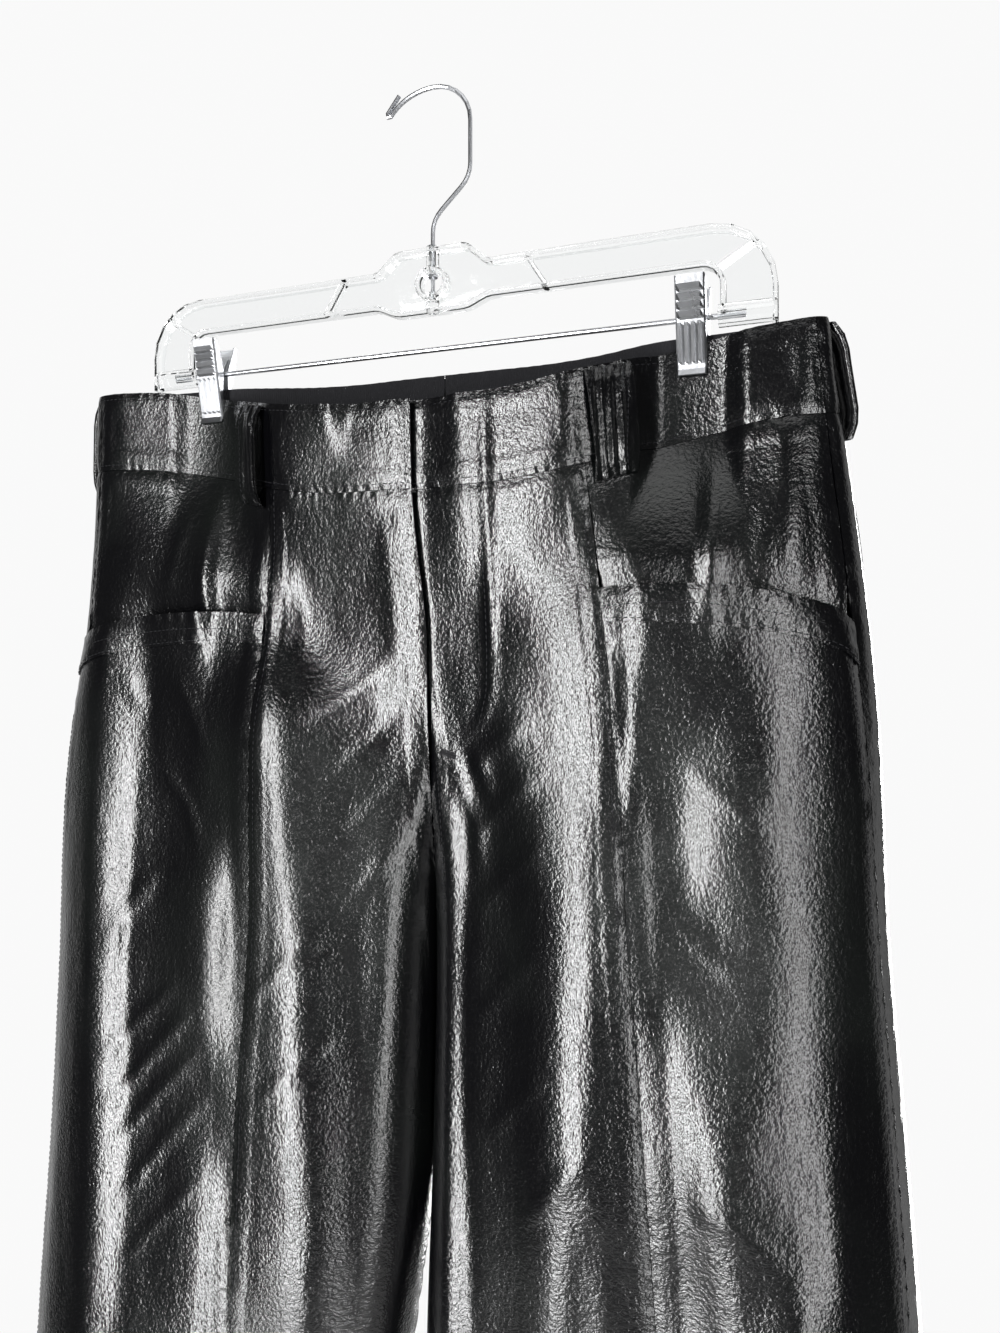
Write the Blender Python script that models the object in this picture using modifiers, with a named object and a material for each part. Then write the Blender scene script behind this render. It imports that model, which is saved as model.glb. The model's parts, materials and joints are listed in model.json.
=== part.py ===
"""Wide-leg trousers of black faux leather, clipped by the waistband to a clear hanger.

Metres, +Z up. The origin is the inside of the hook's crown, which rests on whatever carries the
hanger. The front faces -Y. Sides are the wearer's: the right side is at -X, the left at +X.

The garment hangs nearly flat. One surface describes it: a half section from centre front round
to centre back for each side, which closes into a ring below the crotch. A panel is a patch of
that surface with a wall, and what is sewn on a panel is the same patch moved out.
"""
import math
from collections import namedtuple

import bmesh
import bpy
from mathutils import Vector

# ---------------------------------------------------------------- sizes of the cloth
CLOTH = 0.0013            # wall of one layer of bonded faux leather
SEAM = 0.0003             # gap between pieces that touch
ROUNDNESS = 0.77          # exponent of the sections: 1 is an ellipse, less is squarer

WAIST_TOP = -0.145        # level of the waistband's top edge at the sides
WAIST_SEAM = -0.191
FLY_END = -0.357
CROTCH = -0.487
HEM = -1.235

RIGHT, LEFT = -1, 1
SIDE_NAMES = {RIGHT: "right", LEFT: "left"}
MOUTH_START = {RIGHT: -0.269, LEFT: -0.261}   # level of the pocket mouth at the princess seam
MOUTH_SLOPE = {RIGHT: -0.291, LEFT: -0.285}   # level that its slope would have at the side seam
MOUTH_CORNER = 0.004      # how much lower its rounded corner ends

# One row per section. All lengths in metres; reaches and seams are measured from X = 0.
Section = namedtuple(
    "Section",
    "level right left front back edge closed centre parting princess_right princess_left inset")
# right, left      how far each side reaches out
# front, back      Y of the front and the back
# edge             Y of the outermost point
# closed           0 for a half section, 1 for a closed leg
# centre, parting  X of the middle seam, and half the space between the legs
# princess_*       distance of the princess seam from X = 0
# inset            how far in front of the outermost point the side seam lies, along X
SECTIONS = (
    Section(-0.145, 0.223, 0.202, -0.029, 0.018, 0.002, 0.00, 0.000, 0.0, 0.088, 0.087, 0.0060),
    Section(-0.191, 0.224, 0.207, -0.029, 0.019, 0.003, 0.00, 0.001, 0.0, 0.088, 0.091, 0.0065),
    Section(-0.240, 0.226, 0.214, -0.029, 0.020, 0.004, 0.00, 0.005, 0.0, 0.089, 0.097, 0.0075),
    Section(-0.290, 0.231, 0.220, -0.029, 0.021, 0.004, 0.02, 0.007, 0.0, 0.089, 0.103, 0.0075),
    Section(-0.330, 0.239, 0.224, -0.030, 0.021, 0.005, 0.22, 0.007, 0.0, 0.089, 0.107, 0.0070),
    Section(-0.365, 0.244, 0.226, -0.031, 0.022, 0.006, 0.55, 0.006, 0.0, 0.090, 0.110, 0.0060),
    Section(-0.395, 0.246, 0.227, -0.033, 0.023, 0.007, 0.80, 0.004, 0.0, 0.091, 0.112, 0.0055),
    Section(-0.440, 0.248, 0.229, -0.035, 0.023, 0.009, 0.95, 0.002, 0.0, 0.092, 0.115, 0.0050),
    Section(-0.487, 0.249, 0.233, -0.037, 0.024, 0.010, 1.00, 0.001, 0.0, 0.095, 0.119, 0.0050),
    Section(-0.600, 0.254, 0.242, -0.042, 0.026, 0.010, 1.00, -0.002, 0.0004, 0.101, 0.126, 0.006),
    Section(-0.680, 0.260, 0.247, -0.044, 0.026, 0.010, 1.00, -0.011, 0.006, 0.105, 0.130, 0.007),
    Section(-0.900, 0.272, 0.259, -0.048, 0.028, 0.009, 1.00, -0.008, 0.011, 0.114, 0.140, 0.009),
    Section(-1.235, 0.284, 0.274, -0.052, 0.030, 0.007, 1.00, -0.004, 0.012, 0.124, 0.150, 0.010),
)

# How far the waistband's top edge drops below WAIST_TOP, by distance from the centre.
Drop = namedtuple("Drop", "x front back")
DROPS = (
    Drop(0.000, 0.0275, 0.0035),
    Drop(0.040, 0.0270, 0.0035),
    Drop(0.080, 0.0225, 0.0035),
    Drop(0.110, 0.0145, 0.0030),
    Drop(0.141, 0.0075, 0.0030),
    Drop(0.180, 0.0020, 0.0015),
    Drop(0.230, 0.0000, 0.0000),
)
DROP_ENDS = -0.36         # level at which nothing is left of the drop

# Largest folds. x is measured from X = 0 along the side, at the top and the bottom of the fold;
# height is how far it stands out of the cloth, and is negative for a trough.
Fold = namedtuple("Fold", "side face x_top x_low top low width height")
FOLDS = (
    Fold(RIGHT, "front", 0.185, 0.165, -0.30, -0.86, 0.050, 0.0050),
    Fold(RIGHT, "front", 0.145, 0.140, -0.33, -0.95, 0.045, -0.0045),
    Fold(RIGHT, "front", 0.110, 0.120, -0.36, -1.10, 0.036, 0.0035),
    Fold(RIGHT, "front", 0.074, 0.050, -0.27, -0.84, 0.040, 0.0050),
    Fold(RIGHT, "front", 0.045, 0.030, -0.36, -0.80, 0.034, -0.0040),
    Fold(RIGHT, "front", 0.010, 0.024, -0.38, -0.90, 0.024, 0.0060),
    Fold(RIGHT, "front", 0.190, 0.200, -0.85, -1.30, 0.060, -0.0060),
    Fold(RIGHT, "front", 0.075, 0.085, -0.80, -1.30, 0.060, 0.0060),
    Fold(RIGHT, "back", 0.170, 0.160, -0.34, -0.95, 0.060, 0.0050),
    Fold(RIGHT, "back", 0.110, 0.120, -0.40, -1.30, 0.060, -0.0050),
    Fold(RIGHT, "back", 0.055, 0.070, -0.35, -1.10, 0.050, 0.0050),
    Fold(RIGHT, "back", 0.205, 0.210, -0.80, -1.30, 0.055, -0.0050),
    Fold(LEFT, "front", 0.090, 0.088, -0.22, -0.80, 0.050, 0.0045),
    Fold(LEFT, "front", 0.055, 0.060, -0.34, -0.86, 0.040, -0.0045),
    Fold(LEFT, "front", 0.024, 0.034, -0.37, -0.95, 0.026, 0.0060),
    Fold(LEFT, "front", 0.132, 0.140, -0.32, -0.90, 0.040, -0.0040),
    Fold(LEFT, "front", 0.182, 0.200, -0.28, -0.80, 0.044, 0.0050),
    Fold(LEFT, "front", 0.155, 0.165, -0.42, -0.84, 0.030, 0.0030),
    Fold(LEFT, "front", 0.110, 0.100, -0.78, -1.30, 0.060, 0.0060),
    Fold(LEFT, "front", 0.190, 0.185, -0.82, -1.30, 0.060, -0.0060),
    Fold(LEFT, "back", 0.160, 0.150, -0.36, -1.00, 0.060, 0.0050),
    Fold(LEFT, "back", 0.105, 0.110, -0.40, -1.30, 0.060, -0.0050),
    Fold(LEFT, "back", 0.050, 0.060, -0.35, -1.05, 0.050, 0.0045),
    Fold(LEFT, "back", 0.200, 0.205, -0.85, -1.30, 0.055, -0.0050),
)
FOLD_ENDS = 0.09          # length over which a fold rises out of the cloth at each end

# Centre front: the right piece lies on top, the left one dips and runs on beneath it.
LAP = 0.012
LAP_FADES = (FLY_END + 0.010, FLY_END + 0.030)
CHANNEL_DEPTH = 0.0045
CHANNEL_FLAT = 0.016      # distance from the centre to which the dip keeps its full depth
CHANNEL_END = 0.031       # and where it ends, just inside the J-stitch
CHANNEL_FADES = (FLY_END - 0.018, FLY_END + 0.010)
CENTRE_HOLLOW = 0.0055    # how far both centre fronts fall back towards the crotch
CENTRE_HOLLOW_WIDTH = 0.060
CENTRE_HOLLOW_LEVELS = (-0.215, -0.275, -0.350, -0.400)

# Pocket: the yoke dips behind the mouth and the side panel bows out in front of it.
YOKE_BELOW_MOUTH = 0.050
YOKE_DIP = 0.0042
YOKE_DIP_RISE = 0.014
YOKE_TRIM = 0.0003        # extra space beside the yoke's seams, and what is added at the dip
YOKE_TRIM_DIP = 0.0012
YOKE_TRIM_RUN = 0.003
POCKET_BOW = 0.0060
POCKET_BOW_LENGTH = 0.090
POCKET_BOW_SQUARE = 0.8   # below 1, the bow is squarer across the panel than a sine
POCKET_BAND = 0.0195
POCKET_CORNER = 0.86      # share of the mouth after which its corner is rounded off

# Belt loops: strips caught at both ends, standing off between them.
LOOP_WIDTH = 0.0195
LOOP_WALL = 0.0020
LOOP_STANDOFF = 0.0050
LOOP_SEAT = 0.0006        # space under its caught ends, and what is added at the lower one
LOOP_SEAT_LOW = 0.0007
LOOP_TOP = -0.1465
LOOP_END = -0.203
LOOP_BESIDE_PRINCESS = 0.0125
SIDE_LOOP_ANGLES = (-0.03, -0.47)
LOOP_RIB = 0.0004

# ---------------------------------------------------------------- sizes of the hanger
CLIP_X = 0.1385
CLIP_WIDTH = 0.0145
CLIP_SHEET = 0.0008
CLIP_TOP = -0.1215
CLIP_BOTTOM = -0.1675
CLOTH_AT_CLIP = 0.0018    # distance of each cloth face from Y = 0 between the jaws
PINCH_FLAT = 0.011
PINCH_END = 0.065
PINCH_LOW = -0.172        # level below which the pinch runs out
PINCH_GONE = -0.275

# Side view of a jaw: how far its face and the rear edge of its flanges lie from Y = 0.
Jaw = namedtuple("Jaw", "z face back")
JAW = (
    Jaw(CLIP_TOP, 0.0120, 0.0085),
    Jaw(-0.1300, 0.0105, 0.0045),
    Jaw(-0.1395, 0.0086, 0.0019),
    Jaw(-0.1480, 0.0068, 0.0024),
    Jaw(-0.1600, 0.0044, 0.0024),
    Jaw(-0.1645, 0.0033, 0.0024),
    Jaw(CLIP_BOTTOM, 0.0046, 0.0036),
)
JAW_BEND = 0.0008
NIP = -0.1645             # where the jaws hold the cloth
LOUVRES, LOUVRE_TOP, LOUVRE_LOW, LOUVRE_DEPTH = 4, -0.1255, -0.1420, 0.0011
FLUTES, FLUTE_TOP, FLUTE_LOW, FLUTE_DEPTH, FLUTE_RUN = 4, -0.1430, -0.1625, 0.0009, 0.0015
SPRING_TURNS, SPRING_PITCH, SPRING_RADIUS, SPRING_WIRE = 2, 0.0017, 0.0027, 0.0006
SPRING_LEG_TOP = -0.1280

ROD_Z = -0.1395
ROD_RADIUS = 0.0014
ROD_HALF = 0.1640
BODY_HALF = 0.1775
BODY_TOP = -0.0968
BODY_FOOT = -0.1458
HUMP_RISE = 0.0100
HUMP_FLAT = 0.018
HUMP_FOOT = 0.034
OUTER_CORNER = 0.030
INNER_HALF = 0.1530
INNER_TOP = -0.1140
INNER_DIP = 0.0050
INNER_CORNER = 0.010
INNER_FOOT = -0.1375
RAIL_DEPTH = 0.0037       # half the rail's width from front to back
RIB_DEPTH = 0.0029
RAIL_THICK = 0.0012       # half its thickness
WEB_THICK = 0.0008        # half the web's thickness
Rib = namedtuple("Rib", "x_outer z_outer x_inner z_inner")
RIBS = (Rib(0.1685, -0.1055, 0.1500, -0.1168), Rib(0.0530, BODY_TOP, 0.0640, INNER_TOP))
WINDOW_Z = -0.1045
WINDOW_RADIUS = 0.0080
WINDOW_TURN = (0, 340, 17)   # first and last angle in degrees, and the steps between them
SOCKET_START = 0.1510
SOCKET_END = 0.1772
SOCKET_RADIUS = 0.0056
BOSS_RADIUS = 0.0036
BOSS_TOP = -0.0845
BOSS_LOWER = -0.1095
BOSS_FOOT = -0.1200

WIRE_RADIUS = 0.0012
HOOK_LEFT = 0.0280        # the hook's reach to each side of its crown
HOOK_RIGHT = 0.0215
HOOK_HEIGHT = 0.0210
HOOK_TIP_ANGLE = 62
FOLD_LENGTH = 0.0110
FOLD_SPACE = 0.0027
BEND_TOP = -0.0500
BEND_LOW = -0.0700
BEND_RADIUS = 0.0070
SHANK_END = -0.1130
COLLAR_RADIUS = 0.0026
COLLAR_TOP = -0.0995
COLLAR_LOW = -0.1010


# ---------------------------------------------------------------- numbers
def smooth(value, start, end):
    """0 at start, 1 at end, with a soft change between them, whichever is larger."""
    share = min(1.0, max(0.0, (value - start) / (end - start)))
    return share * share * (3 - 2 * share)


def signed_power(value, exponent):
    return math.copysign(abs(value) ** exponent, value)


def along(rows, key, position, column):
    """Value of a column of a table at a position, on a smooth curve through its rows."""
    keys = [getattr(row, key) for row in rows]
    values = [getattr(row, column) for row in rows]
    if keys[0] > keys[-1]:
        keys.reverse()
        values.reverse()
    position = min(max(position, keys[0]), keys[-1])
    index = max(i for i in range(len(keys) - 1) if keys[i] <= position)
    slopes = [(values[i + 1] - values[i]) / (keys[i + 1] - keys[i]) for i in range(len(keys) - 1)]

    def tangent(i):
        if i in (0, len(keys) - 1) or slopes[i - 1] * slopes[i] <= 0:
            return 0.0
        return 2 * slopes[i - 1] * slopes[i] / (slopes[i - 1] + slopes[i])

    span = keys[index + 1] - keys[index]
    t = (position - keys[index]) / span
    return ((1 + 2 * t) * (1 - t) ** 2 * values[index]
            + t * (1 - t) ** 2 * span * tangent(index)
            + t * t * (3 - 2 * t) * values[index + 1]
            - t * t * (1 - t) * span * tangent(index + 1))


def spread(start, end, count):
    """Count values after start, the last of them end."""
    return [start + (end - start) * (i + 1) / count for i in range(count)]


# ---------------------------------------------------------------- the garment's surface
Ring = namedtuple("Ring", "middle half start princess seam front back edge")


def ring_at(side, level):
    """Centre, half width and seam places of one side's section, as cosines of the ring."""
    def read(column):
        return along(SECTIONS, "level", level, column)

    name = SIDE_NAMES[side]
    reach = read(name)
    inner = side * read("centre") + read("parting")
    start = -math.sin(math.pi / 2 * read("closed")) ** ROUNDNESS
    half = (reach - inner) / (1 - start)
    middle = reach - half
    princess = (read("princess_" + name) - middle) / half
    seam = (reach - read("inset") - middle) / half
    return Ring(middle, half, start, princess, seam, read("front"), read("back"), read("edge"))


def angle_of(cosine):
    """Angle round the section for a place across it; 0 is the outermost point."""
    bounded = min(1.0, max(-1.0, cosine))
    return math.acos(signed_power(bounded, 1 / ROUNDNESS))


def edges_of(side, level, piece):
    """First and last angle of a piece at a level, from the centre front round to the back."""
    ring = ring_at(side, level)
    if piece == "centre":
        start = ring.start
        if side == LEFT:
            start -= LAP * smooth(level, *LAP_FADES) / ring.half
        return angle_of(start), angle_of(ring.princess)
    if piece == "side":
        return angle_of(ring.princess), angle_of(ring.seam)
    return angle_of(ring.seam), -angle_of(ring.start)


def fold_height(side, face, x, level):
    total = 0.0
    for fold in FOLDS:
        if fold.side != side or fold.face != face:
            continue
        share = (level - fold.top) / (fold.low - fold.top)
        across = abs(x - fold.x_top - (fold.x_low - fold.x_top) * share) / fold.width
        if across >= 1:
            continue
        ends = (smooth(level, fold.top, fold.top - FOLD_ENDS)
                * smooth(level, fold.low, fold.low + FOLD_ENDS))
        total += fold.height * ends * (0.5 + 0.5 * math.cos(math.pi * across))
    return total


def surface(side, angle, level):
    """Point of the garment's outer face."""
    ring = ring_at(side, level)
    x = ring.middle + ring.half * signed_power(math.cos(angle), ROUNDNESS)
    bulge = abs(math.sin(angle)) ** ROUNDNESS
    is_front = angle >= 0
    face = "front" if is_front else "back"
    outward = -1 if is_front else 1
    depth = (ring.front if is_front else ring.back) - ring.edge
    depth += outward * fold_height(side, face, x, level)
    if is_front:
        from_centre = x - side * along(SECTIONS, "level", level, "centre")
        top, full, full_low, low_end = CENTRE_HOLLOW_LEVELS
        hollow = smooth(level, top, full) * smooth(level, low_end, full_low)
        depth += CENTRE_HOLLOW * hollow * (1 - smooth(abs(from_centre), 0.0, CENTRE_HOLLOW_WIDTH))
    if is_front and side == LEFT:
        dip = 1 - smooth(from_centre, CHANNEL_FLAT, CHANNEL_END)
        depth += CHANNEL_DEPTH * dip * smooth(level, *CHANNEL_FADES)
    y = ring.edge + depth * bulge
    low = smooth(level, PINCH_GONE, PINCH_LOW)
    wing = 0.45 * smooth(x, 0.10, CLIP_X + PINCH_FLAT) * low
    y *= 1 - wing
    pinch = (1 - smooth(abs(x - CLIP_X), PINCH_FLAT, PINCH_END)) * low
    y += (outward * CLOTH_AT_CLIP - y) * pinch
    drop = along(DROPS, "x", abs(x), face) * smooth(level, DROP_ENDS, WAIST_SEAM)
    return Vector((side * x, y, level - drop))


def normal(side, angle, level):
    """Outward normal of the garment's face, from its neighbourhood."""
    turn, step = 0.012, 0.003
    around = surface(side, angle - turn, level) - surface(side, angle + turn, level)
    down = surface(side, angle, level - step) - surface(side, angle, level + step)
    return (down.cross(around) * side).normalized()


# ---------------------------------------------------------------- levels that rows share
LEG_STEPS, LEG_GROWTH = 10, 1.15
LEG_ROWS = [CROTCH + (HEM - CROTCH) * (i / LEG_STEPS) ** LEG_GROWTH
            for i in range(1, LEG_STEPS + 1)]
BAND_ROWS = [WAIST_TOP] + spread(WAIST_TOP, WAIST_SEAM, 2)
CENTRE_COLUMNS, SIDE_COLUMNS, BACK_COLUMNS = 7, 9, 16


def mouth_level(side, share):
    """Level of the pocket mouth, share 0 at the princess seam and 1 at the side seam."""
    level = MOUTH_START[side] + (MOUTH_SLOPE[side] - MOUTH_START[side]) * share
    past = max(0.0, (share - POCKET_CORNER) / (1 - POCKET_CORNER))
    return level - MOUTH_CORNER * past ** 2


def upper_rows(side):
    return spread(WAIST_SEAM, MOUTH_START[side], 3)


def long_rows(side):
    """Levels of a panel that runs from the waist seam to the hem."""
    corner = spread(MOUTH_START[side], mouth_level(side, 1.0), 2)
    return [WAIST_SEAM] + upper_rows(side) + corner + lower_rows(side)


def lower_rows(side):
    """Levels below the pocket band."""
    return spread(mouth_level(side, 1.0), CROTCH, 7) + LEG_ROWS


def pocket_bow(side, share, level):
    """How far the side panel stands out below the pocket mouth."""
    below = mouth_level(side, share) - level
    across = math.sin(math.pi * share) ** POCKET_BOW_SQUARE
    return POCKET_BOW * across * (1 - smooth(below, 0.0, POCKET_BOW_LENGTH) ** 2)


# ---------------------------------------------------------------- building solids
def make_material(name, colour, roughness, metallic=0.0, alpha=1.0):
    material = bpy.data.materials.new(name)
    material.use_nodes = True
    shader = material.node_tree.nodes["Principled BSDF"]
    shader.inputs["Base Color"].default_value = (*colour, 1)
    shader.inputs["Roughness"].default_value = roughness
    shader.inputs["Metallic"].default_value = metallic
    shader.inputs["Alpha"].default_value = alpha
    return material


def place_mesh(name, mesh, material, collection):
    thing = bpy.data.objects.new(name, mesh)
    collection.objects.link(thing)
    mesh.materials.append(material)
    return thing


def pulled_in(grid):
    """Grid of points whose border is moved in by half a seam."""
    rows, columns = len(grid), len(grid[0])
    moved = [[point.copy() for point in row] for row in grid]

    def pull(row, column, to_row, to_column):
        step = grid[to_row][to_column] - grid[row][column]
        moved[row][column] += step.normalized() * (SEAM / 2)

    for row in range(rows):
        pull(row, 0, row, 1)
        pull(row, columns - 1, row, columns - 2)
    for column in range(columns):
        pull(0, column, 1, column)
        pull(rows - 1, column, rows - 2, column)
    return moved


def build_wall(name, outer, inner, flip, material, collection):
    """Closed wall between two grids of points, the loft between a panel's two faces."""
    shape = bmesh.new()
    rows, columns = len(outer), len(outer[0])
    skins = [[[shape.verts.new(point) for point in row] for row in grid] for grid in (outer, inner)]
    for skin, other_way in zip(skins, (flip, not flip)):
        for r in range(rows - 1):
            for c in range(columns - 1):
                corners = [skin[r][c], skin[r + 1][c], skin[r + 1][c + 1], skin[r][c + 1]]
                shape.faces.new(corners[::-1] if other_way else corners)
    border = ([(0, c) for c in range(columns)] + [(r, columns - 1) for r in range(1, rows)]
              + [(rows - 1, c) for c in range(columns - 2, -1, -1)]
              + [(r, 0) for r in range(rows - 2, 0, -1)])
    for here, there in zip(border, border[1:] + border[:1]):
        corners = [skins[0][here[0]][here[1]], skins[0][there[0]][there[1]],
                   skins[1][there[0]][there[1]], skins[1][here[0]][here[1]]]
        shape.faces.new(corners[::-1] if flip else corners)
    mesh = bpy.data.meshes.new(name)
    shape.to_mesh(mesh)
    shape.free()
    mesh.shade_smooth()
    mesh.set_sharp_from_angle(angle=math.radians(40))
    return place_mesh(name, mesh, material, collection)


def panel(name, side, rows, columns, angles, material, collection, lift=None, wall=CLOTH):
    """Wall on the garment's surface.

    rows is a function of the column's share, angles one of the level, and lift one of the
    share and the level: how far the outer face stands out of the surface.
    """
    outer, inner = [], []
    row_count = len(rows(0.0))
    for r in range(row_count):
        outer_row, inner_row = [], []
        for c in range(columns + 1):
            share = c / columns
            level = rows(share)[r]
            first, last = angles(level)
            angle = first + (last - first) * share
            out = normal(side, angle, level)
            raised = lift(share, level) if lift else 0.0
            point = surface(side, angle, level)
            outer_row.append(point + out * raised)
            inner_row.append(point + out * (raised - wall))
        outer.append(outer_row)
        inner.append(inner_row)
    return build_wall(name, pulled_in(outer), pulled_in(inner), side == RIGHT, material, collection)


def build_side(side, cloth, collection):
    """All panels of one side of the garment."""
    name = SIDE_NAMES[side]

    def piece_angles(piece):
        return lambda level: edges_of(side, level, piece)

    def add(node, rows, columns, piece, lift=None):
        panel(node + "_" + name, side, rows, columns, piece_angles(piece), cloth, collection, lift)

    add("waistband_front", lambda share: BAND_ROWS, CENTRE_COLUMNS, "centre")
    add("waistband_side", lambda share: BAND_ROWS, SIDE_COLUMNS, "side")
    add("waistband_back", lambda share: BAND_ROWS, BACK_COLUMNS, "back")
    add("front_centre", lambda share: long_rows(side), CENTRE_COLUMNS, "centre")
    add("back", lambda share: long_rows(side), BACK_COLUMNS, "back")

    def yoke_rows(share):
        mouth = mouth_level(side, share)
        below = spread(mouth, mouth - YOKE_BELOW_MOUTH, 2)
        return [WAIST_SEAM] + upper_rows(side)[:2] + [mouth + YOKE_DIP_RISE, mouth] + below

    def yoke_dip(share, level):
        mouth = mouth_level(side, share)
        return -YOKE_DIP * smooth(level, mouth + YOKE_DIP_RISE, mouth)

    def yoke_angles(level):
        ring = ring_at(side, level)
        below = smooth(level, WAIST_SEAM, upper_rows(side)[0])
        trims = []
        for mouth in (MOUTH_START[side], mouth_level(side, 1.0)):
            behind = smooth(level, mouth + YOKE_TRIM_RUN, mouth - YOKE_TRIM_RUN)
            trims.append((YOKE_TRIM * below + YOKE_TRIM_DIP * behind) / ring.half)
        return angle_of(ring.princess + trims[0]), angle_of(ring.seam - trims[1])

    panel("hip_yoke_" + name, side, yoke_rows, SIDE_COLUMNS, yoke_angles, cloth, collection,
          yoke_dip)

    def band_rows(share):
        mouth = mouth_level(side, share)
        return [mouth, mouth - POCKET_BAND / 2, mouth - POCKET_BAND]

    def bow(share, level):
        return pocket_bow(side, share, level)

    def band_lift(share, level):
        return bow(share, level) + CLOTH + SEAM

    add("front_side", lambda share: band_rows(share) + lower_rows(side), SIDE_COLUMNS, "side", bow)
    add("pocket_band", band_rows, SIDE_COLUMNS, "side", band_lift)


def build_loop(name, side, angles, cloth, collection):
    """Belt loop: a ribbed strip whose middle stands off the waistband."""
    rows = [LOOP_TOP] + spread(LOOP_TOP, LOOP_END, 8)

    def lift(share, level):
        travelled = (LOOP_TOP - level) / (LOOP_TOP - LOOP_END)
        stand = min(1.0, 1.9 * math.sin(math.pi * travelled))
        rib = LOOP_RIB * math.cos(math.pi * 6 * share)
        seat = LOOP_SEAT + LOOP_SEAT_LOW * travelled
        return seat + LOOP_WALL + LOOP_STANDOFF * stand + rib

    panel(name, side, lambda share: rows, 6, angles, cloth, collection, lift, LOOP_WALL)


def build_loops(cloth, collection):
    def beside_princess(side):
        def angles(level):
            ring = ring_at(side, level)
            middle = ring.princess + LOOP_BESIDE_PRINCESS / ring.half
            half = LOOP_WIDTH / 2 / ring.half
            return angle_of(middle - half), angle_of(middle + half)
        return angles

    def at_centre_back(level):
        across = LOOP_WIDTH / 2 / ring_at(LEFT, level).half
        return -angle_of(across), -angle_of(-across)

    build_loop("belt_loop_back", LEFT, at_centre_back, cloth, collection)
    for side in (RIGHT, LEFT):
        name = SIDE_NAMES[side]
        build_loop("belt_loop_front_" + name, side, beside_princess(side), cloth, collection)
        build_loop("belt_loop_side_" + name, side, lambda level: SIDE_LOOP_ANGLES, cloth, collection)


# ---------------------------------------------------------------- the hanger
def arc(centre_x, centre_z, radius_x, radius_z, start, end, count):
    """Points (x, z) on an elliptic arc; angles in degrees, 0 towards +X, 90 up."""
    angles = [math.radians(start + (end - start) * i / count) for i in range(count + 1)]
    return [(centre_x + radius_x * math.cos(a), centre_z + radius_z * math.sin(a)) for a in angles]


def rounded(points, radius, steps=4):
    """A path of (x, z) points whose inner corners are rounded."""
    path = [points[0]]
    for before, corner, after in zip(points, points[1:], points[2:]):
        corner = Vector(corner)
        start = corner + (Vector(before) - corner).normalized() * radius
        end = corner + (Vector(after) - corner).normalized() * radius
        for i in range(steps + 1):
            t = i / steps
            path.append(tuple(start * (1 - t) ** 2 + corner * 2 * t * (1 - t) + end * t * t))
    return path + [points[-1]]


def rail_path(half, top, corner, foot, rise):
    """Left end to right end of a rail: up from its foot, round the corner, over the middle."""
    shoulder = [(-HUMP_FOOT + (HUMP_FOOT - HUMP_FLAT) * i / 5, top + rise * smooth(i, 0, 5))
                for i in range(6)]
    left = [(-half, foot)] + arc(-half + corner, top - corner, corner, corner, 180, 90, 5)
    left += shoulder
    return left + [(-x, z) for x, z in reversed(left)]


def make_curve(name, points, material, collection, depth, extrude=0.0, cyclic=False, sides=2):
    """Curve object through points, with a round bevel and, for a rail, a flat width in Y."""
    curve = bpy.data.curves.new(name, "CURVE")
    curve.dimensions = "3D"
    curve.twist_mode = "Z_UP"
    curve.bevel_depth = depth
    curve.bevel_resolution = sides
    curve.extrude = extrude
    curve.use_fill_caps = True
    spline = curve.splines.new("POLY")
    spline.points.add(len(points) - 1)
    for spot, point in zip(spline.points, points):
        spot.co = (*point, 1)
    spline.use_cyclic_u = cyclic
    curve.materials.append(material)
    thing = bpy.data.objects.new(name, curve)
    collection.objects.link(thing)
    return thing


def as_mesh(thing):
    """The curve object as a mesh object with its caps welded, standing upright."""
    bpy.context.view_layer.update()
    evaluated = thing.evaluated_get(bpy.context.evaluated_depsgraph_get())
    mesh = bpy.data.meshes.new_from_object(evaluated)
    shape = bmesh.new()
    shape.from_mesh(mesh)
    bmesh.ops.remove_doubles(shape, verts=shape.verts, dist=0.00001)
    bmesh.ops.recalc_face_normals(shape, faces=shape.faces)
    shape.to_mesh(mesh)
    shape.free()
    solid = bpy.data.objects.new(thing.name, mesh)
    solid.matrix_world = thing.matrix_world
    thing.users_collection[0].objects.link(solid)
    name = thing.name
    bpy.data.objects.remove(thing, do_unlink=True)
    solid.name = name
    return solid


def rail(name, path, material, collection, depth=RAIL_DEPTH, cyclic=False):
    """Flat rail of the clear body, along a path in the XZ plane."""
    points = [(x, z, 0.0) for x, z in path]
    curve = make_curve(name, points, material, collection, RAIL_THICK, depth, cyclic, 0)
    curve.rotation_euler = (math.radians(90), 0, 0)
    return as_mesh(curve)


def web(name, outlines, material, collection):
    """Thin plate between the rails; every outline after the first is a hole."""
    curve = bpy.data.curves.new(name, "CURVE")
    curve.dimensions = "2D"
    curve.fill_mode = "BOTH"
    curve.extrude = WEB_THICK
    for outline in outlines:
        spline = curve.splines.new("POLY")
        spline.points.add(len(outline) - 1)
        for spot, (x, z) in zip(spline.points, outline):
            spot.co = (x, z, 0, 1)
        spline.use_cyclic_u = True
    curve.materials.append(material)
    thing = bpy.data.objects.new(name, curve)
    collection.objects.link(thing)
    thing.rotation_euler = (math.radians(90), 0, 0)
    return as_mesh(thing)


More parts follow.
